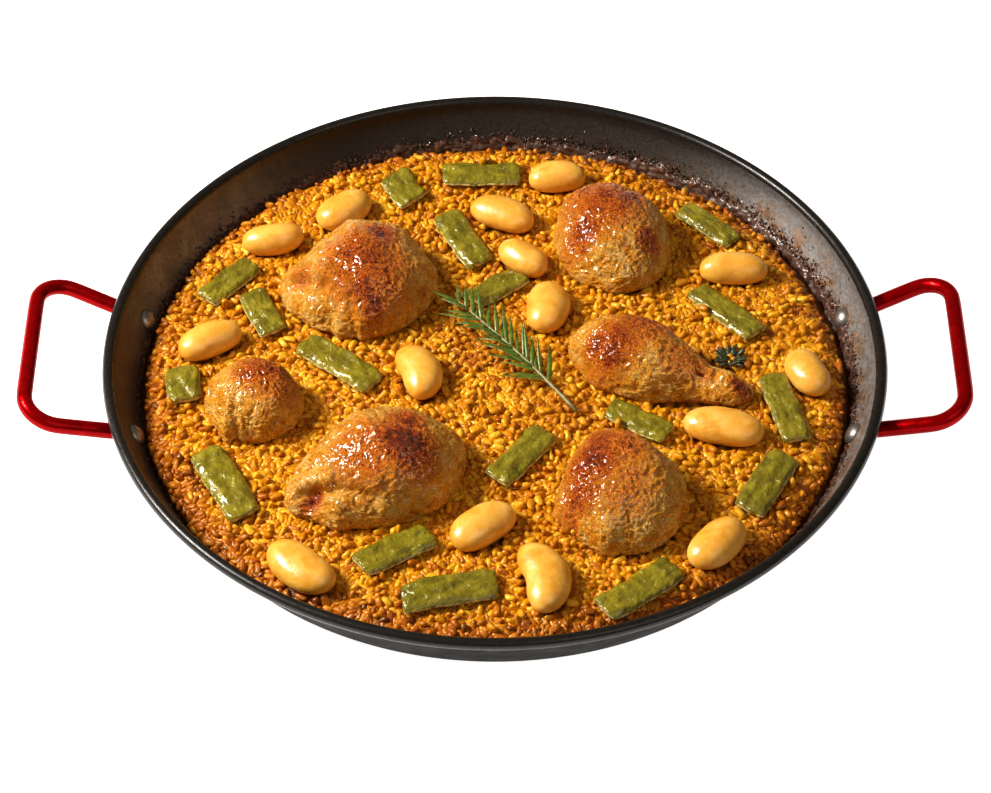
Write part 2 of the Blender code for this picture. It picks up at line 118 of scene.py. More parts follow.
class Paint:
    """A material under construction."""

    def __init__(self, name, roughness=0.4, metallic=0.0, **sockets):
        self.material = bpy.data.materials.new(name)
        self.material.use_nodes = True
        self.tree = self.material.node_tree
        self.shader = self.tree.nodes["Principled BSDF"]
        self.shader.inputs["Roughness"].default_value = roughness
        self.shader.inputs["Metallic"].default_value = metallic
        for socket, value in sockets.items():
            self.shader.inputs[socket.replace("_", " ")].default_value = value
        self.place = self.tree.nodes.new("ShaderNodeTexCoord").outputs["Object"]

    def link(self, source, socket):
        self.tree.links.new(source, socket)

    def node(self, kind, **settings):
        node = self.tree.nodes.new(kind)
        for key, value in settings.items():
            setattr(node, key, value)
        return node

    def stretched(self, scale=(1, 1, 1), turn=(0, 0, 0)):
        """The place, stretched or turned before a pattern reads it."""
        mapping = self.node("ShaderNodeMapping")
        mapping.inputs["Scale"].default_value = scale
        mapping.inputs["Rotation"].default_value = turn
        self.link(self.place, mapping.inputs["Vector"])
        return mapping.outputs["Vector"]

    def noise(self, size_mm, detail=3.0, rough=0.5, distortion=0.0, place=None):
        """Noise whose lumps are about size_mm across."""
        node = self.node("ShaderNodeTexNoise")
        node.inputs["Scale"].default_value = 1.0 / (size_mm * MM)
        node.inputs["Detail"].default_value = detail
        node.inputs["Roughness"].default_value = rough
        node.inputs["Distortion"].default_value = distortion
        self.link(place or self.place, node.inputs["Vector"])
        return node.outputs["Fac"]

    def cells(self, size_mm, feature="F1", place=None):
        node = self.node("ShaderNodeTexVoronoi", feature=feature)
        node.inputs["Scale"].default_value = 1.0 / (size_mm * MM)
        self.link(place or self.place, node.inputs["Vector"])
        return node.outputs["Distance"]

    def attribute(self, name):
        node = self.node("ShaderNodeAttribute", attribute_name=name)
        return node.outputs["Fac"]

    def span(self, factor, low, high, to_low=0.0, to_high=1.0, smooth=True):
        """Map a range of a pattern to another range."""
        node = self.node("ShaderNodeMapRange")
        if smooth:
            node.interpolation_type = 'SMOOTHSTEP'
        node.inputs["From Min"].default_value = low
        node.inputs["From Max"].default_value = high
        node.inputs["To Min"].default_value = to_low
        node.inputs["To Max"].default_value = to_high
        self.link(factor, node.inputs["Value"])
        return node.outputs["Result"]

    def math(self, operation, a, b):
        node = self.node("ShaderNodeMath", operation=operation)
        for socket, value in zip(node.inputs, (a, b)):
            if isinstance(value, (int, float)):
                socket.default_value = value
            else:
                self.link(value, socket)
        return node.outputs[0]

    def ramp(self, factor, stops):
        """Colours along a pattern: a list of (place, colour)."""
        node = self.node("ShaderNodeValToRGB")
        elements = node.color_ramp.elements
        while len(elements) < len(stops):
            elements.new(0.5)
        for element, (position, colour) in zip(elements, stops):
            element.position = position
            element.color = (*colour, 1.0)
        self.link(factor, node.inputs["Fac"])
        return node.outputs["Color"]

    def mix(self, factor, a, b, blend='MIX'):
        """Mix two colours; either may be a fixed colour."""
        node = self.node("ShaderNodeMix", data_type='RGBA', blend_type=blend)
        if isinstance(factor, (int, float)):
            node.inputs[0].default_value = factor
        else:
            self.link(factor, node.inputs[0])
        for socket, value in ((node.inputs[6], a), (node.inputs[7], b)):
            if isinstance(value, tuple):
                socket.default_value = (*value, 1.0)
            else:
                self.link(value, socket)
        return node.outputs[2]

    def distance_from_axis(self):
        """How far a point is from the pan's axis, in metres."""
        flat = self.node("ShaderNodeVectorMath", operation='MULTIPLY')
        flat.inputs[1].default_value = (1, 1, 0)
        self.link(self.place, flat.inputs[0])
        length = self.node("ShaderNodeVectorMath", operation='LENGTH')
        self.link(flat.outputs["Vector"], length.inputs[0])
        return length.outputs["Value"]

    def along(self, axis):
        """The place along one axis, in metres."""
        node = self.node("ShaderNodeSeparateXYZ")
        self.link(self.place, node.inputs["Vector"])
        return node.outputs[axis]

    def relief(self, height, depth_mm, strength=1.0, under=None):
        """Bump, up to depth_mm deep."""
        node = self.node("ShaderNodeBump")
        node.inputs["Strength"].default_value = strength
        node.inputs["Distance"].default_value = depth_mm * MM
        self.link(height, node.inputs["Height"])
        if under:
            self.link(under, node.inputs["Normal"])
        return node.outputs["Normal"]

    def finish(self, colour=None, roughness=None, normal=None, metallic=None):
        for name, source in (("Base Color", colour), ("Roughness", roughness),
                             ("Normal", normal), ("Metallic", metallic)):
            if source:
                self.link(source, self.shader.inputs[name])
        return self.material


# %% [markdown]
# ## The pan's steel
# A used carbon steel pan is blue-black, with faint rings from spinning and small specks of burnt oil.
# The colour comes from two sizes of noise, the specks from small cells, and the rings are not drawn.
# The wall turns brown where the food cooked against it. The right wall is mixed to a lighter grey as
# painted light from the lamp, the left wall is tinted brown as a stain with a painted reflection of
# the rice in it, and the back wall is darkened as painted shade.

# %% Steel material


def pan_steel():
    paint = Paint("pan_steel", Specular_IOR_Level=0.5)
    blotch = paint.noise(18, 5, 0.65, 0.6)
    fine = paint.noise(1.8, 5, 0.75)
    colour = paint.ramp(blotch, [(0.28, (0.12, 0.110, 0.104)), (0.48, (0.19, 0.178, 0.170)),
                                 (0.62, (0.28, 0.265, 0.255)), (0.8, (0.38, 0.36, 0.34))])
    # painted light: the right wall, which faces the lamp, is mixed towards a lighter grey
    painted_light_right = paint.span(paint.along("X"), 0.08, 0.17, 0.0, 0.65)
    colour = paint.mix(painted_light_right, colour, (0.32, 0.31, 0.305))
    grainy = paint.ramp(fine, [(0.32, (0.42, 0.40, 0.38)), (0.66, (1.0, 1.0, 1.0))])
    colour = paint.mix(0.9, colour, grainy, 'MULTIPLY')
    stain = paint.ramp(paint.noise(5, 5, 0.7, 1.0), [(0.35, (0.06, 0.022, 0.008)), (0.7, (0.36, 0.20, 0.10))])
    low = paint.span(paint.along("Z"), 0.027, 0.040, 1.0, 0.0)
    lit_side = paint.span(paint.along("X"), 0.0, 0.12)
    stained = paint.math('MULTIPLY', low, paint.span(paint.noise(9, 4, 0.7), 0.38, 0.6))
    stained = paint.math('MULTIPLY', stained, lit_side)
    colour = paint.mix(stained, colour, stain)
    # stain and painted reflection: the left wall towards the front is tinted brown by a real stain together with a
    # painted reflection of the rice
    brown = paint.span(paint.along("X"), -0.185, -0.140, 0.75, 0.0)
    brown = paint.math('MULTIPLY', brown, paint.span(paint.along("Y"), 0.0, 0.06, 1.0, 0.3))
    colour = paint.mix(brown, colour, (0.055, 0.026, 0.006))
    shaded = paint.span(paint.along("Y"), 0.100, 0.172, 0.0, 0.90)
    colour = paint.mix(shaded, colour, (0.014, 0.009, 0.006))
    dots = paint.span(paint.cells(5.0), 0.08, 0.19, 1.0, 0.0)
    dots = paint.math('MULTIPLY', dots, paint.span(paint.noise(17, 2), 0.42, 0.56))
    colour = paint.mix(dots, colour, (0.02, 0.014, 0.010))
    metallic = paint.span(blotch, 0.3, 0.7, 0.55, 0.75)
    roughness = paint.span(fine, 0.25, 0.75, 0.36, 0.66)
    normal = paint.relief(fine, 0.22, 0.7)
    normal = paint.relief(paint.noise(0.7, 2, 0.6), 0.06, 0.5, normal)
    return paint.finish(colour, roughness, normal, metallic)


def rim_black():
    """The rolled edge: steel blackened and polished by hands and oil."""
    paint = Paint("rim_black", Specular_IOR_Level=0.28)
    wear = paint.noise(3.5, 4, 0.7)
    colour = paint.ramp(wear, [(0.3, (0.003, 0.0025, 0.002)), (0.7, (0.012, 0.010, 0.009))])
    return paint.finish(colour, paint.span(wear, 0.3, 0.7, 0.36, 0.22), paint.relief(wear, 0.12, 0.5))


def soot_black():
    """The underside and the outer wall: dull with soot."""
    paint = Paint("soot_black", Specular_IOR_Level=0.08)
    cloud = paint.noise(12, 5, 0.7)
    colour = paint.ramp(cloud, [(0.3, (0.006, 0.005, 0.004)), (0.7, (0.020, 0.017, 0.014))])
    return paint.finish(colour, paint.span(cloud, 0.3, 0.7, 0.80, 0.65), paint.relief(cloud, 0.2, 0.5))


steel = pan_steel()
print("steel nodes:", len(steel.node_tree.nodes))

# %% [markdown]
# ## Turning the pan
# A pan like this is one sheet pressed round a form, and its edge is rolled outwards over a wire.
# In Blender that is a half section spun about Z. The section is drawn in three parts, from the
# middle of the cooking face, up the wall, round the rolled rim and back under, and each part is spun
# into a piece of its own. The spin closes on itself.

# %% Spin helper and the pan


def arc(centre, radius, start, end, steps):
    """Points on an arc, angles in degrees."""
    angles = [math.radians(start + (end - start) * i / steps) for i in range(steps + 1)]
    return [(centre[0] + radius * math.cos(a), centre[1] + radius * math.sin(a)) for a in angles]


def spin_section(section, steps):
    bm = bmesh.new()
    verts = [bm.verts.new((r, 0.0, z)) for r, z in section]
    edges = [bm.edges.new(pair) for pair in zip(verts, verts[1:])]
    bmesh.ops.spin(bm, geom=verts + edges, cent=(0, 0, 0), axis=(0, 0, 1), steps=steps,
                   angle=math.tau, use_merge=True)
    return bm


def pan_sections():
    """Half sections of the cooking side, the rolled rim and the outside; each starts where one ends."""
    slope = math.degrees(math.atan(WALL_SLOPE))
    centre_z = SHEET + CORNER_RADIUS
    centre_r = wall_inside(SHEET) - CORNER_RADIUS * math.tan(math.radians(slope / 2))
    thick_r = SHEET * math.hypot(1.0, WALL_SLOPE) / WALL_SLOPE
    bead = (RIM_RADIUS - BEAD_RADIUS, RIM_HEIGHT - BEAD_RADIUS)
    rim = arc(bead, BEAD_RADIUS, 180, -96, 22)
    cooking = [(0.0, SHEET), (80.0, SHEET), (150.0, SHEET)]
    cooking += arc((centre_r, centre_z), CORNER_RADIUS, -90, slope - 90, 8)
    cooking += [(wall_inside(20), 20), (wall_inside(31), 31), (wall_inside(36.4) - 0.1, 36.4)]
    cooking += [(193.7, 38.6), (193.95, 40.4), rim[0]]
    outside = [rim[-1], (wall_inside(38.4) + thick_r, 38.4), (wall_inside(30) + thick_r, 30)]
    outside += arc((centre_r, centre_z), CORNER_RADIUS + SHEET, slope - 90, -90, 8)
    outside += [(150.0, 0.0), (80.0, 0.0), (0.0, 0.0)]
    return cooking, rim, outside


def make_pan():
    materials = (steel, rim_black(), soot_black())
    for name, section, material in zip(("pan_inside", "pan_rim", "pan_outside"), pan_sections(), materials):
        piece = finish_piece(spin_section(section, 256), name, material, ["pan"])
        print(name, "faces:", len(piece.data.polygons))


make_pan()

# %% [markdown]
# ## Rivets
# Each handle tab is held by one rivet: a domed head inside the pan and a flatter one outside. The
# rivet's axis is square to the sloping wall. A frame at the rivet, with its Z along that axis,
# places the head here and the handle's tab in the next step.

# %% Rivet frames and heads
RIVET_ANGLE = 13.0
RIVET_HEIGHT = 24.5
TAB_HALF_THICK = 1.5


def rivet_frame(side, up):
    """Frame on the wall's inside at a rivet: X up the wall, Z into the pan."""
    angle = math.radians(RIVET_ANGLE * up)
    if side < 0:
        angle = math.pi - angle
    radial = Vector((math.cos(angle), math.sin(angle), 0.0))
    along_wall = (radial + Vector((0, 0, WALL_SLOPE))).normalized()
    inward = (Vector((0, 0, 1.0)) - radial * WALL_SLOPE).normalized()
    turn = Matrix((along_wall, along_wall.cross(inward), inward)).transposed().to_4x4()
    turn.translation = radial * wall_inside(RIVET_HEIGHT) + Vector((0, 0, RIVET_HEIGHT))
    return turn


def rivet_steel():
    paint = Paint("rivet_steel", metallic=0.9)
    wear = paint.noise(1.6, 4, 0.7)
    colour = paint.ramp(wear, [(0.3, (0.17, 0.155, 0.14)), (0.7, (0.36, 0.34, 0.32))])
    roughness = paint.span(wear, 0.3, 0.7, 0.42, 0.28)
    return paint.finish(colour, roughness, paint.relief(wear, 0.12, 0.6))


def make_rivets():
    metal = rivet_steel()
    back = -(SHEET + 2 * TAB_HALF_THICK + 0.5)
    dome = [(0.0, 3.3), (1.7, 3.2), (3.2, 2.8), (4.5, 2.1), (5.5, 1.15), (6.0, 0.4), (6.1, 0.02)]
    foot = [(3.0, 0.0), (3.0, back), (4.4, back - 0.1), (4.4, back - 0.8), (3.6, back - 1.6), (0.0, back - 1.9)]
    for side, side_name in ((-1, "left"), (1, "right")):
        for up, up_name in ((1, "back"), (-1, "front")):
            bm = spin_section(dome + foot, 32)
            bmesh.ops.transform(bm, matrix=rivet_frame(side, up), verts=bm.verts)
            name = "rivet_" + side_name + "_" + up_name
            finish_piece(bm, name + "_head", metal, [name])


make_rivets()
print("rivets:", 4)

# %% [markdown]
# ## Handles
# The handle is an 8 mm rod bent to a flat U. Its ends are hammered into tabs that lie on the
# outside of the wall under the rim. The rod could be a bevelled curve, but the tabs need a section
# that changes, so a ring of points is extruded from station to station and set to each width.

# %% Handle stations
ROD = 4.2
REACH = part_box("handle_right")[1].x / MM - ROD
BAR_HEIGHT = 45.6
BAR_CORNER = 53.5
BEND = 16.0
LEG = Vector((1.0, 0.216, 0.37))


def handle_stations():
    """Centre, thickness direction and half sizes along one half of the right handle."""
    place = rivet_frame(1, 1)
    up = place.col[0].to_3d()
    inward = place.col[2].to_3d()
    rivet = place.translation - inward * (SHEET + 0.1 + TAB_HALF_THICK)
    corner = Vector((REACH, BAR_CORNER, BAR_HEIGHT))
    upright = Vector((0, 0, 1))
    stations = []
    for along, half_width in ((-9.6, 2.6), (-8.9, 4.2), (-7.2, 5.6), (-4.5, 6.5), (0.0, 6.7), (3.5, 6.4)):
        stations.append((rivet + up * along, inward, half_width, TAB_HALF_THICK))
    leg_start = corner - LEG * (REACH - 191.5)
    middle = (rivet + up * 6.5).lerp(leg_start, 0.40)
    stations.append((middle, (inward + upright).normalized(), 5.3, 2.9))
    stations.append((leg_start, upright, 4.2, 4.1))
    stations.append((leg_start + LEG * 5, upright, ROD, ROD))
    stations.append((leg_start + LEG * 18, upright, ROD, ROD))
    into_leg = -LEG.normalized()
    along_bar = Vector((0, -1, 0))
    tangent = BEND / math.tan(into_leg.angle(along_bar) / 2)
    centre = corner + (into_leg + along_bar).normalized() * math.hypot(BEND, tangent)
    start = (corner + into_leg * tangent - centre).normalized()
    end = (corner + along_bar * tangent - centre).normalized()
    for i in range(9):
        stations.append((centre + start.slerp(end, i / 8) * BEND, upright, ROD, ROD))
    stations.append((Vector((REACH, 18.0, BAR_HEIGHT)), upright, ROD, ROD))
    return stations


# %% Sweep helper and red enamel


def sweep(stations, sides):
    """Extrude a ring of points through the stations and close both ends."""
    bm = bmesh.new()
    ring = list(bmesh.ops.create_circle(bm, cap_ends=True, radius=1.0, segments=sides)["verts"])
    for i, (place, thick, half_width, half_thick) in enumerate(stations):
        before = stations[max(i - 1, 0)][0]
        after = stations[min(i + 1, len(stations) - 1)][0]
        along = (after - before).normalized()
        across = along.cross(thick).normalized()
        lift = across.cross(along).normalized()
        if i:
            edges = [bm.edges.get((ring[k], ring[(k + 1) % sides])) for k in range(sides)]
            grown = bmesh.ops.extrude_edge_only(bm, edges=edges)["geom"]
            fresh = {v for v in grown if isinstance(v, bmesh.types.BMVert)}
            ring = [next(e.other_vert(v) for e in v.link_edges if e.other_vert(v) in fresh) for v in ring]
        for k, vert in enumerate(ring):
            angle = math.tau * k / sides
            vert.co = place + across * half_width * math.cos(angle) + lift * half_thick * math.sin(angle)
    bm.faces.new(ring)
    return bm


def red_enamel():
    paint = Paint("red_enamel", metallic=0.55, Coat_Weight=0.05, Coat_Roughness=0.08, Specular_IOR_Level=0.05,
                  Specular_Tint=(0.8, 0.02, 0.03, 1.0))
    shade = paint.noise(7, 3, 0.6)
    colour = paint.ramp(shade, [(0.3, (0.20, 0.0004, 0.0010)), (0.7, (0.30, 0.0008, 0.0020))])
    wave = paint.noise(3.5, 2)
    return paint.finish(colour, paint.span(shade, 0.3, 0.7, 0.18, 0.3), paint.relief(wave, 0.15, 0.35))


def make_handle(name, side, enamel):
    half = handle_stations()
    mirror = Matrix.Diagonal((1, -1, 1))
    other = [(mirror @ place, mirror @ thick, w, t) for place, thick, w, t in reversed(half)]
    bm = sweep(half + other, 16)
    if side < 0:
        bmesh.ops.scale(bm, vec=(-1, 1, 1), verts=bm.verts)
    handle = finish_piece(bm, "handle_rod_" + name, enamel, ["handle_" + name])
    rounding = handle.modifiers.new("rounding", 'SUBSURF')
    rounding.levels = 1
    rounding.render_levels = 1
    return handle


enamel = red_enamel()
for handle_name, handle_side in (("left", -1), ("right", 1)):
    make_handle(handle_name, handle_side, enamel)
print("handles reach", round(REACH + ROD, 1), "mm")

# %% [markdown]
# ## Chicken, part one: the shape
# A cooked thigh is a rounded, lopsided lump: blunt at one end, narrower at the other, with a skin
# that has shrunk into wrinkles and folds. Sculpting by hand can't be repeated, so each piece
# starts as a fine ball that is drawn out along its length by a width and a height profile. Folds
# are soft pushes at chosen places, like a thumb in clay, and noise along the normals adds wrinkles.

# %% Chicken table
# name, heading of the narrow end, length, width, height above the seat,
# width profile and height profile from the blunt end to the narrow end
CHICKEN = [
    ("chicken_thigh_back_left", 190, 85, 72, 31,
     [0.90, 1.06, 1.10, 1.02, 0.86], [0.72, 0.96, 1.06, 0.88, 0.60]),
    ("chicken_thigh_back_right", 112, 77, 61, 29,
     [0.94, 1.04, 1.04, 0.96, 0.82], [0.84, 0.96, 1.02, 1.02, 0.90]),
    ("chicken_small_piece", 180, 52, 50, 23,
     [0.98, 1.02, 1.02, 1.0, 0.95], [0.86, 1.0, 1.02, 1.0, 0.92]),
    ("chicken_thigh_front_left", 205, 97, 66, 32,
     [0.96, 1.08, 1.06, 0.92, 0.72], [0.80, 1.0, 1.04, 0.80, 0.52]),
    ("chicken_thigh_front_right", 104, 76, 66, 30,
     [1.02, 1.08, 1.02, 0.86, 0.66], [0.80, 0.94, 1.02, 1.06, 1.0]),
    ("chicken_drumstick", -23, 101, 50, 27,
     [1.00, 1.08, 0.88, 0.46, 0.66], [1.02, 1.12, 0.84, 0.46, 0.70]),
]
CHICKEN_DEPTH = 12.0
FLAT_BELOW = -0.62

# pushes: piece, place along and across (-1 to 1), reach and push in mm
PUSHES = [
    (0, 0.45, -0.60, 24, -4.0), (0, -0.55, -0.60, 20, 2.0), (0, 0.80, 0.30, 10, -2.0),
    (0, 0.62, 0.62, 9, 1.6), (0, 0.38, 0.95, 7, 2.2), (0, 0.90, 0.40, 7, 1.5), (0, 0.15, 0.98, 7, 1.5),
    (1, -0.10, 0.85, 12, -1.5), (1, 0.55, 0.50, 12, 1.5),
    (2, 0.54, 0.82, 7, 2.2), (2, 0.05, 0.95, 7, -1.5),
    (3, 0.80, 0.36, 9, -4.5), (3, 0.62, 0.74, 9, 2.0), (3, 0.92, 0.05, 8, 1.5), (3, -0.1, 1.0, 12, -2.0),
    (4, -0.52, 0.86, 7, -1.0), (4, -0.80, 0.45, 8, 1.5), (4, -0.15, 0.98, 8, 1.0),
    (5, 0.46, -0.26, 4, -2.0), (5, 0.70, 0.0, 8, 1.2), (5, 0.90, -0.14, 6, -1.5),
]

# creases: piece, start and end along and across, half width and push in mm
CREASES = [
    (0, 0.82, 0.10, 0.52, 0.44, 3.4, -2.6), (0, 0.52, 0.44, 0.33, 0.72, 3.4, -2.6),
    (0, 0.78, -0.06, 0.46, 0.27, 4.5, 1.9), (0, 0.46, 0.27, 0.25, 0.58, 4.5, 1.9),
    (0, 0.60, 0.55, 0.45, 0.85, 2.5, -1.5), (0, 0.22, 0.80, 0.18, 1.0, 2.2, -1.4),
    (1, 0.20, 0.75, -0.25, 0.85, 2.2, -1.2), (1, 0.45, 0.60, 0.10, 0.72, 2.2, -1.0),
    (2, 0.33, 0.45, 0.30, 0.98, 2.0, -0.8), (2, 0.42, 0.45, 0.45, 0.95, 2.2, 1.2),
    (3, 0.86, 0.12, 0.62, 0.42, 2.6, -2.6), (3, 0.62, 0.42, 0.25, 0.84, 2.6, -2.4),
    (3, 0.80, -0.02, 0.55, 0.26, 4.2, 2.4), (3, 0.55, 0.26, 0.20, 0.66, 4.2, 2.2),
    (4, -0.35, 0.80, -0.62, 0.90, 2.0, -1.0), (4, -0.10, 0.85, -0.30, 0.98, 2.0, -1.5),
    (5, 0.62, -0.35, 0.60, 0.35, 2.2, -1.4), (5, 0.35, -0.75, 0.10, -0.90, 2.5, -1.2),
]

# browning and painted shade: piece, place along and across (-1 to 1), reach in mm, strength
BROWNING_AND_SHADE = [
    (0, -0.05, 0.28, 31, 0.80), (0, -0.32, -0.28, 13, 1.05), (0, 0.13, 0.14, 11, 0.95), (0, -0.15, 0.21, 11, 0.95),
    (0, 0.04, 0.66, 10, 1.05), (0, -0.05, 0.82, 9, 1.05), (0, 0.72, 0.10, 9, 0.40),
    (1, 0.15, 0.10, 30, 0.82), (1, -0.16, 0.61, 15, 0.95), (1, 0.22, -0.04, 15, 0.95), (1, 0.10, -0.37, 13, 0.9),
    (1, -0.61, -0.34, 9, 0.85),
    (2, -0.30, -0.20, 23, 0.85), (2, -0.60, -0.29, 11, 1.0), (2, 0.06, -0.08, 12, 0.85),
    # the last spot on this line darkens the cavity pushed in on the front left thigh as painted shade
    (3, -0.25, 0.29, 21, 1.35), (3, -0.42, -0.12, 14, 1.0), (3, 0.15, 0.20, 26, 0.55), (3, 0.80, 0.36, 8, 1.15),
    (4, 0.14, 0.41, 21, 1.05), (4, -0.27, 0.65, 14, 0.85), (4, 0.45, 0.20, 15, 1.0), (4, 0.25, -0.1, 22, 0.62),
    (4, -0.32, 0.11, 24, 0.36), (4, -0.52, 0.90, 6, 0.8),
    (5, -0.42, -0.35, 20, 0.85), (5, -0.61, -0.43, 10, 1.0), (5, -0.41, -0.60, 10, 1.05), (5, -0.27, 0.40, 22, 0.80),
    (5, 0.30, -0.05, 24, 0.38), (5, 0.88, -0.08, 9, 1.25), (5, 0.46, -0.26, 4, 1.2),
]


# %% Chicken shape


def swell(distance, reach):
    """1 at the middle of a push, fading to 0 at its reach."""
    return (math.cos(math.pi * min(distance / reach, 1.0)) + 1) / 2


def beside(place, start, end):
    """Distance from a place to a line on the plan, in mm."""
    run = end - start
    along = max(0.0, min(1.0, (place - start).dot(run) / run.length_squared))
    return (place - start - run * along).length


def wrinkle(place, index):
    """Height of the skin's wrinkles at a place, in mm."""
    shift = Vector((index * 37.0, index * 11.0, 0.0))
    broad = noise.noise((place + shift) / 17.0) * 1.5
    bent = place + noise.noise_vector(place / 6.0 + shift) * 2.6
    crease = 0.30 - abs(noise.noise((bent + shift) / 3.8))
    curl = 0.22 - abs(noise.noise((bent * 1.15 + shift) / 1.8))
    return broad + 1.6 * crease + 0.8 * curl


def chicken_shape(index, fineness):
    name, heading, length, width, height, widths, heights = CHICKEN[index]
    bm = bmesh.new()
    bmesh.ops.create_icosphere(bm, subdivisions=fineness, radius=1.0)
    browned_and_shaded = bm.verts.layers.float.new("browned_and_shaded")
    stations = np.linspace(0, 1, len(widths))
    half = Vector((length / 2, width / 2))
    pushes = [(Vector((u * half.x, v * half.y)), reach, push) for i, u, v, reach, push in PUSHES if i == index]
    patches = [(Vector((u * half.x, v * half.y)), reach, push) for i, u, v, reach, push in BROWNING_AND_SHADE if i == index]
    creases = [(Vector((u1 * half.x, v1 * half.y)), Vector((u2 * half.x, v2 * half.y)), reach, push)
               for i, u1, v1, u2, v2, reach, push in CREASES if i == index]
    for vert in bm.verts:
        u, v, w = vert.co
        w = max(w, FLAT_BELOW)
        s = (u + 1) / 2
        tall = height * float(np.interp(s, stations, heights)) if w > 0 else CHICKEN_DEPTH
        wide = width / 2 * float(np.interp(s, stations, widths))
        flat = Vector((u * half.x, v * half.y))
        place = Vector((flat.x, v * wide, w * tall))
        away = Vector((u / length, v / width, w / max(tall, 1) / 2)).normalized()
        moved = 0.0
        brown = 0.0
        if w > -0.3:
            moved += sum(push * swell((flat - spot).length, reach) for spot, reach, push in pushes)
            moved += sum(push * swell(beside(flat, start, end), reach * 1.4) for start, end, reach, push in creases)
            brown = max([0.0] + [push * swell((flat - spot).length, reach) ** 0.7 for spot, reach, push in patches])
        if w > FLAT_BELOW:
            moved += wrinkle(place, index) - 1.0
        vert[browned_and_shaded] = brown
        vert.co = place + away * moved
    bmesh.ops.rotate(bm, cent=(0, 0, 0), matrix=Matrix.Rotation(math.radians(heading), 3, 'Z'), verts=bm.verts)
    return bm


def seat(bm, node):
    """Move a shape so that the middle of its box meets the plain node's, and its base too."""
    low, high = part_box(node)
    coords = np.array([v.co for v in bm.verts])
    middle = (coords.min(0) + coords.max(0)) / 2
    target = (low + high) / 2 / MM
    lift = low.z / MM - coords[:, 2].min()
    bmesh.ops.translate(bm, vec=(target.x - middle[0], target.y - middle[1], lift), verts=bm.verts)


# %% [markdown]
# ## Chicken, part two: the skin
# Roast skin runs from pale gold where it lay in the rice, through orange, to red-brown and black
# where the fire caught it. A per-point browning attribute says where, and it also darkens the cavity
# on the front left thigh as painted shade. Noise breaks its edge up, and fine relief with a low
# roughness gives the many small wet glints of rendered fat.

# %% Chicken skin material


def chicken_skin():
    paint = Paint("roast_chicken", Coat_Weight=0.60, Coat_Roughness=0.07, Subsurface_Weight=0.03,
                  Subsurface_Radius=(0.8, 0.3, 0.1), Subsurface_Scale=0.002, Specular_IOR_Level=0.25,
                  Specular_Tint=(1.0, 0.75, 0.40, 1.0), Coat_Tint=(1.0, 0.96, 0.88, 1.0))
    warp = paint.noise(7, 4, 0.6, 0.8)
    base = paint.ramp(warp, [(0.28, (0.60, 0.165, 0.002)), (0.43, (0.80, 0.34, 0.015)), (0.57, (0.90, 0.52, 0.10)),
                             (0.72, (0.96, 0.70, 0.27))])
    streak = paint.noise(2.1, 4, 0.65, 2.2)
    base = paint.mix(0.80, base, paint.ramp(streak, [(0.36, (0.50, 0.21, 0.03)), (0.54, (1, 1, 1))]), 'MULTIPLY')
    # the per-point browning attribute also carries painted shade in the front left thigh's cavity
    brown = paint.attribute("browned_and_shaded")
    near = paint.span(brown, 0.0, 0.35, 0.25, 1.0)
    ragged = paint.math('MULTIPLY', paint.math('SUBTRACT', streak, 0.5), 4.4)
    ragged = paint.math('ADD', ragged, paint.math('MULTIPLY', paint.math('SUBTRACT', warp, 0.5), 1.0))
    ragged = paint.math('ADD', brown, paint.math('MULTIPLY', ragged, near))
    orange = paint.mix(paint.span(ragged, 0.05, 0.42), base, (0.66, 0.160, 0.002))
    red = paint.mix(paint.span(ragged, 0.45, 0.82), orange, (0.31, 0.026, 0.002))
    burnt = paint.mix(paint.span(ragged, 0.92, 1.35), red, (0.06, 0.007, 0.002))
    roughness = paint.span(streak, 0.3, 0.7, 0.26, 0.48)
    curls = paint.noise(2.5, 3, 0.6, 2.4)
    normal = paint.relief(curls, 2.8, 1.0)
    normal = paint.relief(paint.noise(1.0, 2), 0.30, 0.7, normal)
    return paint.finish(burnt, roughness, normal)


skin = chicken_skin()
toppings = []
for chicken_index, chicken_row in enumerate(CHICKEN):
    chicken_bm = chicken_shape(chicken_index, 7)
    seat(chicken_bm, chicken_row[0])
    chicken = finish_piece(chicken_bm, chicken_row[0] + "_roast", skin, [chicken_row[0]], 0)
    toppings.append(chicken)
print("chicken pieces:", len(CHICKEN), "last one has", len(chicken.data.polygons), "faces")

# %% [markdown]
# ## Butter beans
# A cooked butter bean is plump and smooth with a thin shining skin. A ball is drawn out, its
# shoulders are kept full by a power of its length, and two of them bend into a kidney. The skin's
# mottling is noise between cream and amber, and a thin coat carries the window-like highlight.

# %% Butter bean shapes
# heading, length, width, bend
BUTTER_BEANS = [
    (40, 33, 21, 0.8), (12, 33, 18, 1.0), (30, 35, 20, -0.8), (108, 36, 22, 2.5), (-25, 36, 20, -1.2),
    (4, 31, 19, -1.0), (-40, 30, 18, 0.0), (84, 34, 23, 1.0), (-2, 36, 19, -1.2), (-65, 31, 20, 0.8),
    (-14, 41, 22, -1.0), (50, 36, 22, 0.8), (38, 37, 22, -0.8), (102, 43, 24, 4.0), (-42, 40, 23, 1.0),
]
BEAN_HALF_HEIGHT = 8.4


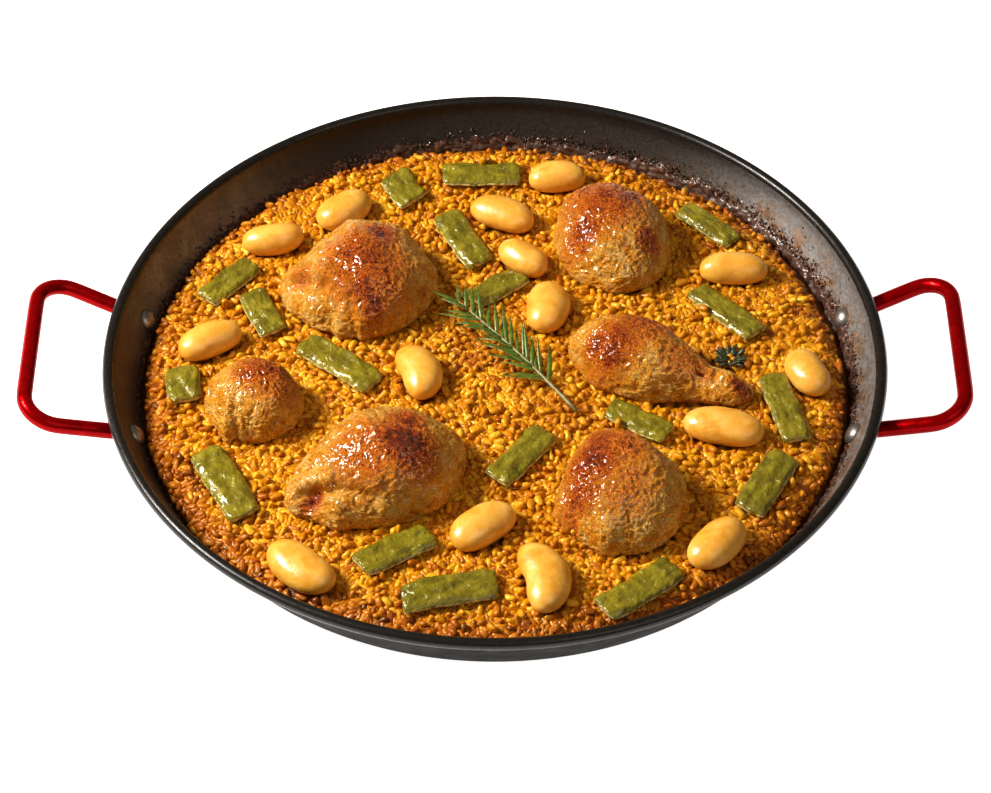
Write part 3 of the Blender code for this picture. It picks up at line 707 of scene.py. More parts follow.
def butter_bean_shape(index):
    heading, length, width, bend = BUTTER_BEANS[index]
    bm = bmesh.new()
    bmesh.ops.create_icosphere(bm, subdivisions=5, radius=1.0)
    for vert in bm.verts:
        u, v, w = vert.co
        round_off = (abs(u) ** 2.25 + math.hypot(v, w) ** 2.25) ** (-1 / 2.25)
        u, v, w = u * round_off, v * round_off, w * round_off
        hollow_side = max(math.copysign(v, v * bend), 0.0) if bend else 0.0
        v -= math.copysign(0.04 * abs(bend) * hollow_side * math.exp(-(u / 0.38) ** 2), v)
        lump = 1 + 0.04 * noise.noise(vert.co * 1.3 + Vector((index * 5.0, 0, 0)))
        vert.co = (u * length / 2, (v * width / 2 + bend * (u * u - 0.4)) * lump,
                   max(w, FLAT_BELOW) * BEAN_HALF_HEIGHT * lump)
    bmesh.ops.rotate(bm, cent=(0, 0, 0), matrix=Matrix.Rotation(math.radians(heading), 3, 'Z'), verts=bm.verts)
    return bm


def bean_skin():
    paint = Paint("butter_bean", roughness=0.3, Coat_Weight=0.4, Coat_Roughness=0.17, Subsurface_Weight=0.2,
                  Subsurface_Radius=(0.9, 0.4, 0.12), Subsurface_Scale=0.004)
    cloud = paint.noise(9, 3, 0.6, 0.5)
    colour = paint.ramp(cloud, [(0.3, (0.66, 0.27, 0.014)), (0.5, (0.77, 0.37, 0.040)), (0.72, (0.84, 0.47, 0.095))])
    fleck = paint.noise(1.1, 3, 0.7)
    colour = paint.mix(paint.span(fleck, 0.60, 0.75, 0.0, 0.4), colour, (0.50, 0.18, 0.018))
    roughness = paint.span(paint.noise(2.0, 3, 0.6), 0.3, 0.7, 0.26, 0.42)
    normal = paint.relief(paint.noise(4.0, 3, 0.6), 0.45, 0.6)
    normal = paint.relief(paint.noise(0.8, 3, 0.6), 0.09, 0.6, normal)
    return paint.finish(colour, roughness, normal)


bean_paint = bean_skin()
for bean_index in range(len(BUTTER_BEANS)):
    bean_node = "butter_bean_" + format(bean_index + 1, "02d")
    bean_bm = butter_bean_shape(bean_index)
    seat(bean_bm, bean_node)
    toppings.append(finish_piece(bean_bm, bean_node + "_cooked", bean_paint, [bean_node], 0))
print("butter beans:", len(BUTTER_BEANS))

# %% [markdown]
# ## Flat green beans
# These are wide flat pods cut into lengths. The skin has cooked loose, so it blisters and waves
# over the seeds, and the cut edges show a paler wall. A fine grid is lifted to a rounded slab, and
# an attribute marks its sides for a paler colour, which is the cut wall together with a painted
# highlight where the lamp catches the sides.

# %% Green bean shapes
# heading, length, width, slant of the cut ends
GREEN_BEANS = [
    (51, 36, 15, 1), (-66, 33, 15, -2), (-80, 24, 17, -2), (-62, 25, 19, -4), (1, 42, 17, 0),
    (-64, 44, 16, -2), (37, 32, 15, -5), (-39, 48, 17, 0), (-62, 50, 18, -2), (31, 40, 17, -1),
    (12, 47, 19, 2), (52, 42, 16, 1), (-33, 35, 15, -1), (-45, 38, 13, 0), (-49, 45, 15, 1),
    (-77, 48, 15, 0), (61, 43, 17, 2), (38, 45, 17, 0),
]
POD_THICKNESS = 3.4


def green_bean_shape(index):
    heading, length, width, slant = GREEN_BEANS[index]
    bm = bmesh.new()
    bmesh.ops.create_grid(bm, x_segments=52, y_segments=22, size=0.5)
    grown = bmesh.ops.extrude_face_region(bm, geom=list(bm.faces))["geom"]
    upper = {v for v in grown if isinstance(v, bmesh.types.BMVert)}
    bmesh.ops.translate(bm, vec=(0, 0, 1), verts=list(upper))
    sides = [e for e in bm.edges if abs(e.verts[0].co.z - e.verts[1].co.z) > 0.5]
    bmesh.ops.subdivide_edges(bm, edges=sides, cuts=3, use_grid_fill=True)
    pale_cut_and_highlight = bm.verts.layers.float.new("cut_edge_and_highlight")
    shift = Vector((index * 9.1, index * 4.7, 0))
    curl = math.sin(index * 2.3)
    for vert in bm.verts:
        u, v, w = vert.co
        narrow = 1 - 0.07 * abs(2 * u) ** 5
        place = Vector((u * length * (1 - 0.05 * abs(2 * v) ** 5), v * width * narrow, 0))
        long = Vector((place.x / 9.0, place.y / 4.2, 0)) + shift
        blister = 1.1 * noise.noise(long) + 0.7 * (0.35 - abs(noise.noise(long * 1.7))) + 0.3 * noise.noise(long * 3.5)
        wave = curl * (u * u * 3.0 - 0.3) + 0.35 * math.sin(9 * u + index) * (v + 0.3)
        shoulder = 1 - 0.5 * abs(2 * v) ** 6 - 0.25 * abs(2 * u) ** 14
        bulge = 0.4 * math.sin(math.pi * w) * (abs(2 * v) > 0.99)
        wobble = 0.9 * noise.noise(Vector((place.x / 9.0, index * 3.0, 0.4))) * (1 + 0.4 * v)
        ragged = 0.2 * noise.noise(Vector((place.x / 2.5, index * 3.0, v))) * (abs(2 * v) > 0.9)
        torn = 0.5 * noise.noise(Vector((place.y / 3.0, index * 7.0, u))) * abs(2 * u) ** 6
        vert.co = (place.x + v * slant + torn, place.y + math.copysign(bulge, v) + ragged + wobble,
                   w * POD_THICKNESS * shoulder + w * blister + wave)
        # the sides are marked for a pale colour: the cut wall together with a painted highlight where the lamp catches
        # them
        vert[pale_cut_and_highlight] = 1.0 if 0.1 < w < 0.9 else 0.0
    bmesh.ops.rotate(bm, cent=(0, 0, 0), matrix=Matrix.Rotation(math.radians(heading), 3, 'Z'), verts=bm.verts)
    return bm


def pod_skin():
    paint = Paint("green_bean", Coat_Weight=0.6, Coat_Roughness=0.10, Specular_Tint=(1.0, 0.95, 0.6, 1.0),
                  Specular_IOR_Level=0.4)
    cloud = paint.noise(9, 3, 0.55, 0.6)
    colour = paint.ramp(cloud, [(0.3, (0.085, 0.068, 0.0018)), (0.5, (0.150, 0.122, 0.004)),
                                (0.72, (0.25, 0.20, 0.010))])
    bruise = paint.span(paint.noise(5.5, 3, 0.6, 0.5), 0.54, 0.68, 0.0, 0.45)
    colour = paint.mix(bruise, colour, (0.17, 0.105, 0.012))
    # pale sides: the cut wall together with a painted highlight
    edge = paint.math('MULTIPLY', paint.attribute("cut_edge_and_highlight"), paint.span(paint.noise(3.5, 3), 0.35, 0.6))
    colour = paint.mix(edge, colour, (0.60, 0.50, 0.20))
    roughness = paint.span(paint.noise(2.5, 3), 0.3, 0.7, 0.22, 0.42)
    normal = paint.relief(paint.noise(3.2, 2, 0.5, 0.4), 1.3, 0.9)
    return paint.finish(colour, roughness, normal)


pod_paint = pod_skin()
for pod_index in range(len(GREEN_BEANS)):
    pod_node = "green_bean_" + format(pod_index + 1, "02d")
    pod_bm = green_bean_shape(pod_index)
    seat(pod_bm, pod_node)
    toppings.append(finish_piece(pod_bm, pod_node + "_pod", pod_paint, [pod_node], 0))
print("green beans:", len(GREEN_BEANS))

# %% [markdown]
# ## Rosemary
# A sprig is a woody stem with narrow leaves in pairs that lean towards the tip. Each needle is a
# thin cone flattened and bent, and the stem is a swept rod. The leaves have a dark upper side and a
# pale rolled edge; an attribute for how near each point is to a leaf's edge paints that edge pale,
# both as the rolled edge's own colour and as a painted highlight.

# %% Rosemary sprig
SPRIG_TIP = Vector((-19.0, 43.0, 36.5))
SPRIG_END = Vector((41.0, -33.0, 32.5))
NEEDLE_PAIRS = 18


def sprig_place(s):
    """A place on the stem, from its cut end (0) to its tip (1)."""
    along = SPRIG_TIP - SPRIG_END
    across = along.cross(Vector((0, 0, 1))).normalized()
    return SPRIG_END + along * s + across * 1.8 * math.sin(math.pi * s)


def leaf_stations(root, way, bend, length, width):
    """Stations of one leaf: a narrow foot, a full middle, a bend and a blunt point."""
    stations = []
    for i in range(9):
        s = i / 8
        half = width / 2 * (0.30 + 0.70 * math.sin(math.pi * min(s * 1.1 + 0.10, 1.0)) ** 0.7)
        half = max(half, 0.15) if i < 8 else 0.15
        stations.append((root + way * length * s + bend * s * s, Vector((0, 0, 1)), half, half * 0.42))
    return stations


def join_bmesh(target, source):
    mesh = bpy.data.meshes.new("join")
    source.to_mesh(mesh)
    source.free()
    target.from_mesh(mesh)
    bpy.data.meshes.remove(mesh)


def leaf(stations, sides=8):
    """A swept leaf whose attribute says how near its edge each point is."""
    bm = sweep(stations, sides)
    edge = bm.verts.layers.float.new("edge")
    for vert in bm.verts:
        place, _, half, _ = min(stations, key=lambda row: (row[0] - vert.co).length)
        vert[edge] = min((vert.co - place).length / max(half, 0.2), 1.0)
    return bm


def rosemary_leaves():
    rng = np.random.default_rng(5)
    along = (SPRIG_TIP - SPRIG_END).normalized()
    across = along.cross(Vector((0, 0, 1))).normalized()
    bm = bmesh.new()
    bm.verts.layers.float.new("edge")
    for i in range(NEEDLE_PAIRS):
        s = 0.26 + 0.72 * i / (NEEDLE_PAIRS - 1)
        for side in (-1, 1):
            root = sprig_place(s + rng.uniform(-0.015, 0.015))
            length = (24.0 - 8.0 * max(2.0 * s - 1.2, 0)) * rng.uniform(0.68, 1.05)
            spread = (0.85 - 0.30 * s) * rng.uniform(0.6, 1.2)
            lift = rng.uniform(-0.06, 0.50)
            way = (along * rng.uniform(0.62, 0.95) + across * side * spread + Vector((0, 0, lift))).normalized()
            bend = along * rng.uniform(-1.0, 3.5) + Vector((0, 0, rng.uniform(-4.0, -0.5)))
            join_bmesh(bm, leaf(leaf_stations(root, way, bend, length, rng.uniform(1.8, 2.5))))
    return bm


def rosemary_stem():
    stem = [(sprig_place(i / 15), Vector((0, 0, 1)), 1.0 - 0.035 * i, 1.0 - 0.035 * i) for i in range(16)]
    return sweep(stem, 10)


def herb_green():
    paint = Paint("herb_green", roughness=0.36, Coat_Weight=0.25, Coat_Roughness=0.2, Specular_Tint=(1.0, 1.0, 0.6, 1.0))
    streak = paint.noise(2.4, 3, 0.6)
    colour = paint.ramp(streak, [(0.3, (0.022, 0.050, 0.003)), (0.5, (0.050, 0.100, 0.008)),
                                 (0.72, (0.12, 0.18, 0.018))])
    # pale leaf edges: the rolled edge's own colour together with a painted highlight along the edge
    colour = paint.mix(paint.span(paint.attribute("edge"), 0.75, 1.0, 0.0, 0.8), colour, (0.22, 0.26, 0.06))
    return paint.finish(colour, None, paint.relief(streak, 0.25, 0.5))


def stem_paint():
    paint = Paint("herb_stem", roughness=0.45)
    wood = paint.noise(3.0, 3, 0.6)
    colour = paint.ramp(wood, [(0.3, (0.11, 0.095, 0.025)), (0.7, (0.27, 0.25, 0.09))])
    return paint.finish(colour, None, paint.relief(wood, 0.3, 0.6))


herb = herb_green()
sprig = finish_piece(rosemary_leaves(), "rosemary_leaves", herb, ["rosemary_sprig"])
finish_piece(rosemary_stem(), "rosemary_stem", stem_paint(), ["rosemary_sprig"])
print("rosemary leaf faces:", len(sprig.data.polygons))

# %% [markdown]
# ## The small herb tuft
# Beside the drumstick lies a pinch of wilted leaf, nearly black. It is a handful of short curled
# leaves pushed into the rice, so it is made from the same swept needles, wider and bent about.

# %% Herb tuft


def herb_tuft_shape():
    rng = np.random.default_rng(11)
    low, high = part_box("herb_tuft")
    middle = (low + high) / 2 / MM
    bm = bmesh.new()
    bm.verts.layers.float.new("edge")
    for i in range(34):
        angle = i * 2.399
        radius = 6.0 * math.sqrt((i + 0.5) / 34)
        root = Vector((middle.x + radius * math.cos(angle), middle.y + 0.8 * radius * math.sin(angle), 28.5))
        turn = angle + rng.uniform(-0.9, 0.9)
        way = Vector((math.cos(turn), math.sin(turn), rng.uniform(0.3, 1.1))).normalized()
        bend = Vector((0, 0, rng.uniform(-2.5, 0.0)))
        join_bmesh(bm, leaf(leaf_stations(root, way, bend, rng.uniform(4.5, 6.5), rng.uniform(2.2, 3.4)), 6))
    return bm


def wilted_green():
    paint = Paint("wilted_green", roughness=0.5, Coat_Weight=0.12)
    cloud = paint.noise(2.4, 3, 0.6)
    colour = paint.ramp(cloud, [(0.35, (0.010, 0.013, 0.003)), (0.7, (0.046, 0.052, 0.012))])
    return paint.finish(colour, None, paint.relief(cloud, 0.3, 0.5))


finish_piece(herb_tuft_shape(), "herb_tuft_leaves", wilted_green(), ["herb_tuft"])
print("herb tuft leaves:", 34)

# %% [markdown]
# ## The rice, part one: a core
# Real rice is thousands of grains, but only the top few layers show. A solid core fills the pan to
# just under the surface, and carries a relief of half-buried grains, so that the gaps between loose
# grains look deep and not empty. It is a spun section with small bumps. Its colour is a dark amber
# with painted shade: darkest between the half-buried grains, and near black at the edge by the wall,
# where it stands for burnt crust together with the shade in the gap.

# %% Rice core
CORE_TOP = 24.8
RICE_EDGE = 177.5


def edge_radius(angle):
    """How far the rice reaches in each direction: unevenly, and farthest at the front."""
    front = np.clip(-np.sin(angle), 0.0, 1.0) ** 0.7
    return RICE_EDGE - 0.8 * np.cos(angle) + 5.5 * front + 0.7 * np.sin(3 * angle + 1.0) \
        + 0.5 * np.sin(8 * angle + 2.0) + 0.5 * np.sin(17 * angle)


def core_height(radius, angle):
    """Top of the core: level, then falling towards the wall."""
    fall = np.clip((radius - edge_radius(angle) + 9.0) / 10.0, 0.0, 1.0)
    return CORE_TOP - 6.0 * fall * fall


def core_section():
    top = [(float(r), CORE_TOP) for r in np.linspace(0, 181.5, 114)]
    return top + [(wall_inside(16.0) - 0.5, 16.0), (wall_inside(8.0) - 0.8, 8.0), (wall_inside(3.0) - 4.0, 1.6),
                  (0.0, 1.5)]


def rice_core_paint():
    paint = Paint("rice_core", Specular_IOR_Level=0.2)
    lumps = paint.cells(4.2)
    # painted shade: the colour darkens from the middle of each cell to its border, so the crevices between half-buried
    # grains are painted dark
    colour = paint.ramp(lumps, [(0.1, (0.55, 0.21, 0.012)), (0.45, (0.30, 0.10, 0.006)), (0.7, (0.10, 0.03, 0.003))])
    # burnt crust and painted shade: the edge by the wall is darkened for the gap between rice and wall
    edge = paint.span(paint.distance_from_axis(), 0.165, 0.180)
    colour = paint.mix(edge, colour, (0.09, 0.026, 0.003))
    return paint.finish(colour, paint.span(lumps, 0.1, 0.6, 0.3, 0.6), paint.relief(lumps, 1.2, 0.8))


core_bm = spin_section(core_section(), 220)
for core_vert in core_bm.verts:
    if core_vert.co.z > 20:
        core_angle = math.atan2(core_vert.co.y, core_vert.co.x)
        core_reach = math.hypot(core_vert.co.x, core_vert.co.y)
        core_vert.co.z = core_height(core_reach, core_angle) + 0.7 * noise.noise(core_vert.co / 2.6)
core = finish_piece(core_bm, "rice_core", rice_core_paint(), ["rice"])
print("core faces:", len(core.data.polygons))

# %% [markdown]
# ## The rice, part two: letting grains settle
# Grains that are only scattered float and cut through each other. Here each grain is a short rod
# of two balls, and the rods fall on the core, on each other and round the toppings. Every step
# lets them drop a little, pushes overlapping balls apart and pulls each rod back to its length.
# It is a small solver in arrays, so thousands of grains settle in seconds.

# %% Things that the grains rest against


def blocking_balls():
    """Balls just under the surface of every topping, near the rice, as places in mm."""
    places = []
    for piece in toppings:
        mesh = piece.data
        coords = np.empty(len(mesh.vertices) * 3)
        normals = np.empty(len(mesh.vertices) * 3)
        mesh.vertices.foreach_get("co", coords)
        mesh.vertices.foreach_get("normal", normals)
        coords = coords.reshape(-1, 3) / MM
        inside = coords - normals.reshape(-1, 3) * BALL
        near = inside[(coords[:, 2] > 21.0) & (coords[:, 2] < 37.0)]
        keys = np.round(near / 2.1).astype(int)
        _, first = np.unique(keys, axis=0, return_index=True)
        places.append(near[first])
    return np.concatenate(places)


BALL = 1.62
blocks = blocking_balls()
print("blocking balls:", len(blocks))

# %% The settling solver


def neighbours(points, queries, cell):
    """Pairs (query, point) in touching cells of a grid."""
    low = points.min(0) - cell
    size = np.ceil((points.max(0) - low) / cell).astype(np.int64) + 2
    grid = ((points - low) / cell).astype(np.int64)
    key = grid[:, 2] + size[2] * (grid[:, 1] + size[1] * grid[:, 0])
    order = np.argsort(key, kind="stable")
    ranked = key[order]
    first = []
    second = []
    for dx in (-1, 0, 1):
        for dy in (-1, 0, 1):
            wanted = key[queries] + size[2] * (dy + size[1] * dx)
            start = np.searchsorted(ranked, wanted - 1, "left")
            stop = np.searchsorted(ranked, wanted + 1, "right")
            count = stop - start
            rows = np.repeat(np.arange(len(queries)), count)
            offset = np.arange(count.sum()) - np.repeat(np.cumsum(count) - count, count)
            first.append(rows)
            second.append(order[np.repeat(start, count) + offset])
    return np.concatenate(first), np.concatenate(second)


def keep_inside(ends, radius):
    """Keep the balls over the core and within the heap's edge."""
    flat = np.hypot(ends[:, 0], ends[:, 1])
    angle = np.arctan2(ends[:, 1], ends[:, 0])
    limit = edge_radius(angle) - 0.30 * np.clip(ends[:, 2] - 26.5, 0, 6) ** 1.4
    limit = np.minimum(limit, wall_inside(ends[:, 2]) - 1.35 * radius - 0.4)
    pull = np.minimum(1.0, limit / np.maximum(flat, 1.0))
    ends[:, 0] *= pull
    ends[:, 1] *= pull
    ends[:, 2] = np.maximum(ends[:, 2], core_height(flat * pull, angle) + 0.5 * radius)
    return ends


def settle(ends, radius, gaps, blocks, steps, drop):
    """Drop rods of two balls: rows 2i and 2i+1 are the two ends of rod i."""
    count = len(ends)
    queries = np.arange(count)
    radii = np.concatenate([radius, np.full(len(blocks), BALL)])
    for step in range(steps):
        ends[:, 2] -= drop * (1.0 if step < steps - 8 else 0.3)
        points = np.concatenate([ends, blocks])
        if step % 3 == 0:
            rows, others = neighbours(points, queries, 2.2 * BALL)
            keep = (others != rows) & (others != (rows ^ 1))
            rows = rows[keep]
            others = others[keep]
        apart = points[rows] - points[others]
        distance = np.linalg.norm(apart, axis=1) + 1e-6
        overlap = radii[rows] + radii[others] - distance
        hit = overlap > 0
        share = np.where(others[hit] < count, 0.5, 1.0) * overlap[hit] / distance[hit]
        push = apart[hit] * share[:, None]
        hits = rows[hit]
        number = np.maximum(np.bincount(hits, minlength=count), 1) ** 0.6
        for axis in range(3):
            ends[:, axis] += np.bincount(hits, push[:, axis], count) / number
        for _ in range(2):
            between = ends[1::2] - ends[0::2]
            long = np.linalg.norm(between, axis=1) + 1e-6
            fix = between * ((long - gaps) / long / 2)[:, None]
            ends[0::2] += fix
            ends[1::2] -= fix
        ends = keep_inside(ends, radius)
    return ends


# %% Footprints of the toppings


def footprints():
    """Middle, heading, half length, half width and underside of each topping, in mm."""
    rows = []
    for node, heading, length, width, *_ in CHICKEN:
        rows.append((node, heading, length * 0.46, width * 0.46, 0.0))
    for i, (heading, length, width, _) in enumerate(BUTTER_BEANS):
        rows.append(("butter_bean_" + format(i + 1, "02d"), heading, length * 0.45, width * 0.45, 0.0))
    for i, (heading, length, width, _) in enumerate(GREEN_BEANS):
        rows.append(("green_bean_" + format(i + 1, "02d"), heading, length * 0.53, width * 0.53, 29.4))
    return rows


def covered(middles):
    """Which places are inside or on top of a topping."""
    hidden = np.zeros(len(middles), bool)
    for node, heading, half_length, half_width, under in footprints():
        low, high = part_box(node)
        flat = middles[:, :2] - np.array([(low.x + high.x) / 2 / MM, (low.y + high.y) / 2 / MM])
        c = math.cos(math.radians(heading))
        s = math.sin(math.radians(heading))
        u = (flat[:, 0] * c + flat[:, 1] * s) / half_length
        v = (flat[:, 1] * c - flat[:, 0] * s) / half_width
        inside = np.maximum(abs(u), abs(v)) < 1 if under else u * u + v * v < 1
        hidden |= inside & (middles[:, 2] > under)
    return hidden


# %% Scatter and settle
GRAIN_COUNT = 9800
rng = np.random.default_rng(21)


def scattered_ends():
    many = 3 * GRAIN_COUNT
    angle = rng.uniform(0, math.tau, many)
    reach = np.sqrt(rng.uniform(0, 1, many)) * (edge_radius(angle) - 1.0)
    middle = np.stack([reach * np.cos(angle), reach * np.sin(angle), rng.uniform(26, 34, many)], 1)
    free = ~covered(middle * (1, 1, 0.5))
    middle = middle[free][:GRAIN_COUNT]
    heading = rng.uniform(0, math.tau, GRAIN_COUNT)
    tilt = np.arcsin(rng.uniform(-0.8, 0.8, GRAIN_COUNT))
    way = np.stack([np.cos(heading) * np.cos(tilt), np.sin(heading) * np.cos(tilt), np.sin(tilt)], 1)
    radius = rng.uniform(1.30, 1.62, GRAIN_COUNT)
    gaps = rng.uniform(2.5, 4.0, GRAIN_COUNT)
    ends = np.empty((2 * GRAIN_COUNT, 3))
    ends[0::2] = middle - way * gaps[:, None] / 2
    ends[1::2] = middle + way * gaps[:, None] / 2
    return ends, np.repeat(radius, 2), gaps


ends, radii, gaps = scattered_ends()
ends = settle(ends, radii, gaps, blocks, 60, 0.35)
shown = np.flatnonzero(~covered((ends[0::2] + ends[1::2]) / 2))
print("grains left:", len(shown))
print("top of the settled rice:", round(float(np.percentile(ends[:, 2], 99)), 1), "mm")

# %% [markdown]
# ## The rice, part three: one mesh from many grains
# A grain is a small ball drawn out and bent. Copies are placed by turning each one to its rod with
# arrays, which is far quicker than making objects. A tint for each grain is stored as an attribute.
# The grains are shared out at random among four meshes, so that no piece grows too heavy.

# %% Grain shapes


def grain_form(seed):
    """Points and triangles of one grain, one unit long and wide, with blunt ends and flat sides."""
    bm = bmesh.new()
    bmesh.ops.create_icosphere(bm, subdivisions=2, radius=1.0)
    shift = Vector((seed * 3.1, 0, 0))
    blunt = 3.0 + 0.4 * (seed % 3)
    flats = [Vector((0.35 * math.sin(2.1 * seed + k), math.sin(k * 2.2 + seed), math.cos(k * 2.2 + seed))).normalized()
             for k in range(3)]
    for vert in bm.verts:
        x, y, z = vert.co
        round_off = (abs(x) ** blunt + math.hypot(y, z) ** blunt) ** (-1 / blunt)
        lump = 1 + 0.30 * noise.noise(vert.co * 1.5 + shift)
        taper = (1 + 0.18 * x * (1 if seed % 2 else -1)) * lump
        place = Vector((x, y * taper, z * taper)) * round_off
        for flat in flats:
            over = place.dot(flat) - 0.76
            if over > 0:
                place -= flat * over * 0.85
        place.y += 0.30 * (place.x * place.x - 0.3)
        vert.co = place / 2
    form = (np.array([v.co for v in bm.verts]), np.array([[v.index for v in f.verts] for f in bm.faces]))
    bm.free()
    return form


GRAIN_FORMS = [grain_form(seed) for seed in range(9)]


def grain_frames(starts, stops, widths):
    """Turn and stretch for each grain, with a random roll about its length."""
    along = stops - starts
    long = np.linalg.norm(along, axis=1)
    along /= long[:, None]
    helper = rng.normal(size=along.shape)
    across = np.cross(along, helper)
    across /= np.linalg.norm(across, axis=1)[:, None]
    third = np.cross(along, across)
    length = long + 2.2 * widths
    flat = rng.uniform(0.80, 1.10, len(long))
    return np.stack([along * length[:, None], across * (2.45 * widths)[:, None],
                     third * (2.45 * widths * flat)[:, None]], 1), (starts + stops) / 2


def grain_mesh(name, chosen, tints, material):
    turns, middles = grain_frames(ends[0::2][chosen], ends[1::2][chosen], radii[0::2][chosen])
    kinds = rng.integers(0, len(GRAIN_FORMS), len(chosen))
    points = []
    faces = []
    shades = []
    base = 0
    for kind, (form, triangles) in enumerate(GRAIN_FORMS):
        rows = np.flatnonzero(kinds == kind)
        placed = np.einsum("pk,nkd->npd", form, turns[rows]) + middles[rows][:, None, :]
        points.append(placed.reshape(-1, 3))
        step = base + np.arange(len(rows)) * len(form)
        faces.append((triangles[None] + step[:, None, None]).reshape(-1, 3))
        shades.append(np.repeat(tints[chosen[rows]], len(form), axis=0))
        base += len(rows) * len(form)
    points = np.concatenate(points) * MM
    faces = np.concatenate(faces)
    mesh = bpy.data.meshes.new(name)
    mesh.from_pydata(points.tolist(), [], faces.tolist())
    shades = np.concatenate(shades)
    for column, attribute in enumerate(("tint", "toast_and_shade")):
        values = np.ascontiguousarray(shades[:, column])
        mesh.attributes.new(attribute, 'FLOAT', 'POINT').data.foreach_set("value", values)
    mesh.shade_smooth()
    mesh.materials.append(material)
    piece = bpy.data.objects.new(name, mesh)
    bpy.context.scene.collection.objects.link(piece)
    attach(piece, "root")
    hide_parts("rice")
    return piece


# %% [markdown]
# ## The rice, part four: colour
# Saffron rice is a deep golden yellow. Oil makes it shine, and light enters a grain a little way,
# which keeps it glowing. Towards the wall the grains toast to amber and brown, so the colour also
# follows the distance from the middle. Grains along the rosemary stem and at a spot under its
# leaves take the same red-brown colours as painted shade from the sprig.

# %% Rice material and pieces


def rice_paint():
    paint = Paint("saffron_rice", Coat_Weight=0.22, Coat_Roughness=0.14, Subsurface_Weight=0.12,
                  Subsurface_Radius=(0.9, 0.4, 0.05), Subsurface_Scale=0.0014, Specular_IOR_Level=0.45,
                  Specular_Tint=(1.0, 0.80, 0.32, 1.0), Coat_Tint=(1.0, 0.90, 0.60, 1.0))
    tint = paint.attribute("tint")
    colour = paint.ramp(tint, [(0.0, (0.34, 0.080, 0.001)), (0.35, (0.49, 0.165, 0.0012)),
                               (0.7, (0.63, 0.265, 0.002)), (1.0, (0.84, 0.46, 0.022))])
    patch = paint.noise(30, 3, 0.6)
    colour = paint.mix(paint.span(patch, 0.5, 0.72, 0.0, 0.30), colour, (0.48, 0.125, 0.001))
    grainy = paint.ramp(paint.noise(1.8, 2, 0.5), [(0.35, (0.78, 0.68, 0.5)), (0.6, (1, 1, 1))])
    colour = paint.mix(0.7, colour, grainy, 'MULTIPLY')
    # the toasted colours serve real toast at the wall and painted shade beside the rosemary
    toast_and_shade_colours = paint.ramp(tint, [(0.0, (0.10, 0.018, 0.001)), (0.5, (0.32, 0.070, 0.002)), (1.0, (0.50, 0.16, 0.005))])
    colour = paint.mix(paint.attribute("toast_and_shade"), colour, toast_and_shade_colours)
    roughness = paint.span(paint.noise(1.5, 2), 0.3, 0.7, 0.24, 0.44)
    normal = paint.relief(paint.noise(1.5, 3, 0.6), 0.7, 0.8)
    return paint.finish(colour, roughness, normal)


def grain_shades():
    """A tint for each grain, and how much of the toasted colours it takes: toast most at the wall, and painted shade
    at a spot under the rosemary leaves and along its stem.
    """
    middles = (ends[0::2] + ends[1::2]) / 2
    tint = np.clip(rng.normal(0.58, 0.26, len(middles)), 0, 1)
    angle = np.arctan2(middles[:, 1], middles[:, 0])
    short = edge_radius(angle) - np.hypot(middles[:, 0], middles[:, 1]) + rng.normal(0, 3.5, len(middles))
    zone = 14.0 + 9.0 * np.clip(-np.sin(angle) - 0.5 * np.cos(angle), 0, 1)
    toast_and_shade = np.clip((zone - short) / 14.0, 0, 1) ** 1.3
    # painted shade: grains at a spot under the rosemary leaves take the toasted colours
    spot = np.hypot(middles[:, 0] - SHADE_SPOT_UNDER_ROSEMARY.x, middles[:, 1] - SHADE_SPOT_UNDER_ROSEMARY.y) + rng.normal(0, 2.0, len(middles))
    toast_and_shade = np.maximum(toast_and_shade, np.clip((12.0 - spot) / 8.0, 0, 1))
    stem = np.array(SPRIG_TIP - SPRIG_END)[:2]
    span = np.clip(((middles[:, :2] - np.array(SPRIG_END)[:2]) @ stem) / (stem @ stem), 0, 1)
    beside_stem = np.linalg.norm(middles[:, :2] - np.array(SPRIG_END)[:2] - span[:, None] * stem, axis=1)
    # painted shade: grains along the rosemary stem take part of the toasted colours
    toast_and_shade = np.maximum(toast_and_shade, 0.45 * np.clip((13.0 - beside_stem + rng.normal(0, 3, len(span))) / 8.0, 0, 1))
    return np.stack([tint, toast_and_shade], 1)


# the middle of the painted shade under the rosemary leaves
SHADE_SPOT_UNDER_ROSEMARY = Vector((-12.0, 9.0))
grain_paint = rice_paint()
tints = grain_shades()
parcels = np.array_split(rng.permutation(shown), 4)
for parcel_index, parcel in enumerate(parcels):
    grain_piece = grain_mesh("rice_grains_" + str(parcel_index + 1), parcel, tints, grain_paint)
print("grains:", len(shown), "faces a piece:", len(grain_piece.data.polygons))

# %% [markdown]
# ## Burnt crust on the wall
# Stock dries and burns on the wall just above the rice, thickest at the back and the right. The
# crust is a band that hugs the wall, pushed out by noise where there is crust and sunk into the
# steel where there is none, so it needs no ragged outline of its own.

# %% Crust band


def crust_thickness(angle, z):
    """Thickness of the crust off the wall in mm; below zero there is none."""
    back = (0.5 + 0.5 * math.cos(angle - 1.0)) ** 0.7
    place = Vector((math.cos(angle) * 190, math.sin(angle) * 190, z))
    top = 18.5 + 7.0 * back + 3.2 * noise.noise(place / 7.0) * back
    rough = noise.noise(place / 1.7) * 1.0 + noise.noise(place / 4.5) * 0.9
    fade = min((top - z) / 2.5, 1.0)
    return fade * 1.1 + rough - 0.35


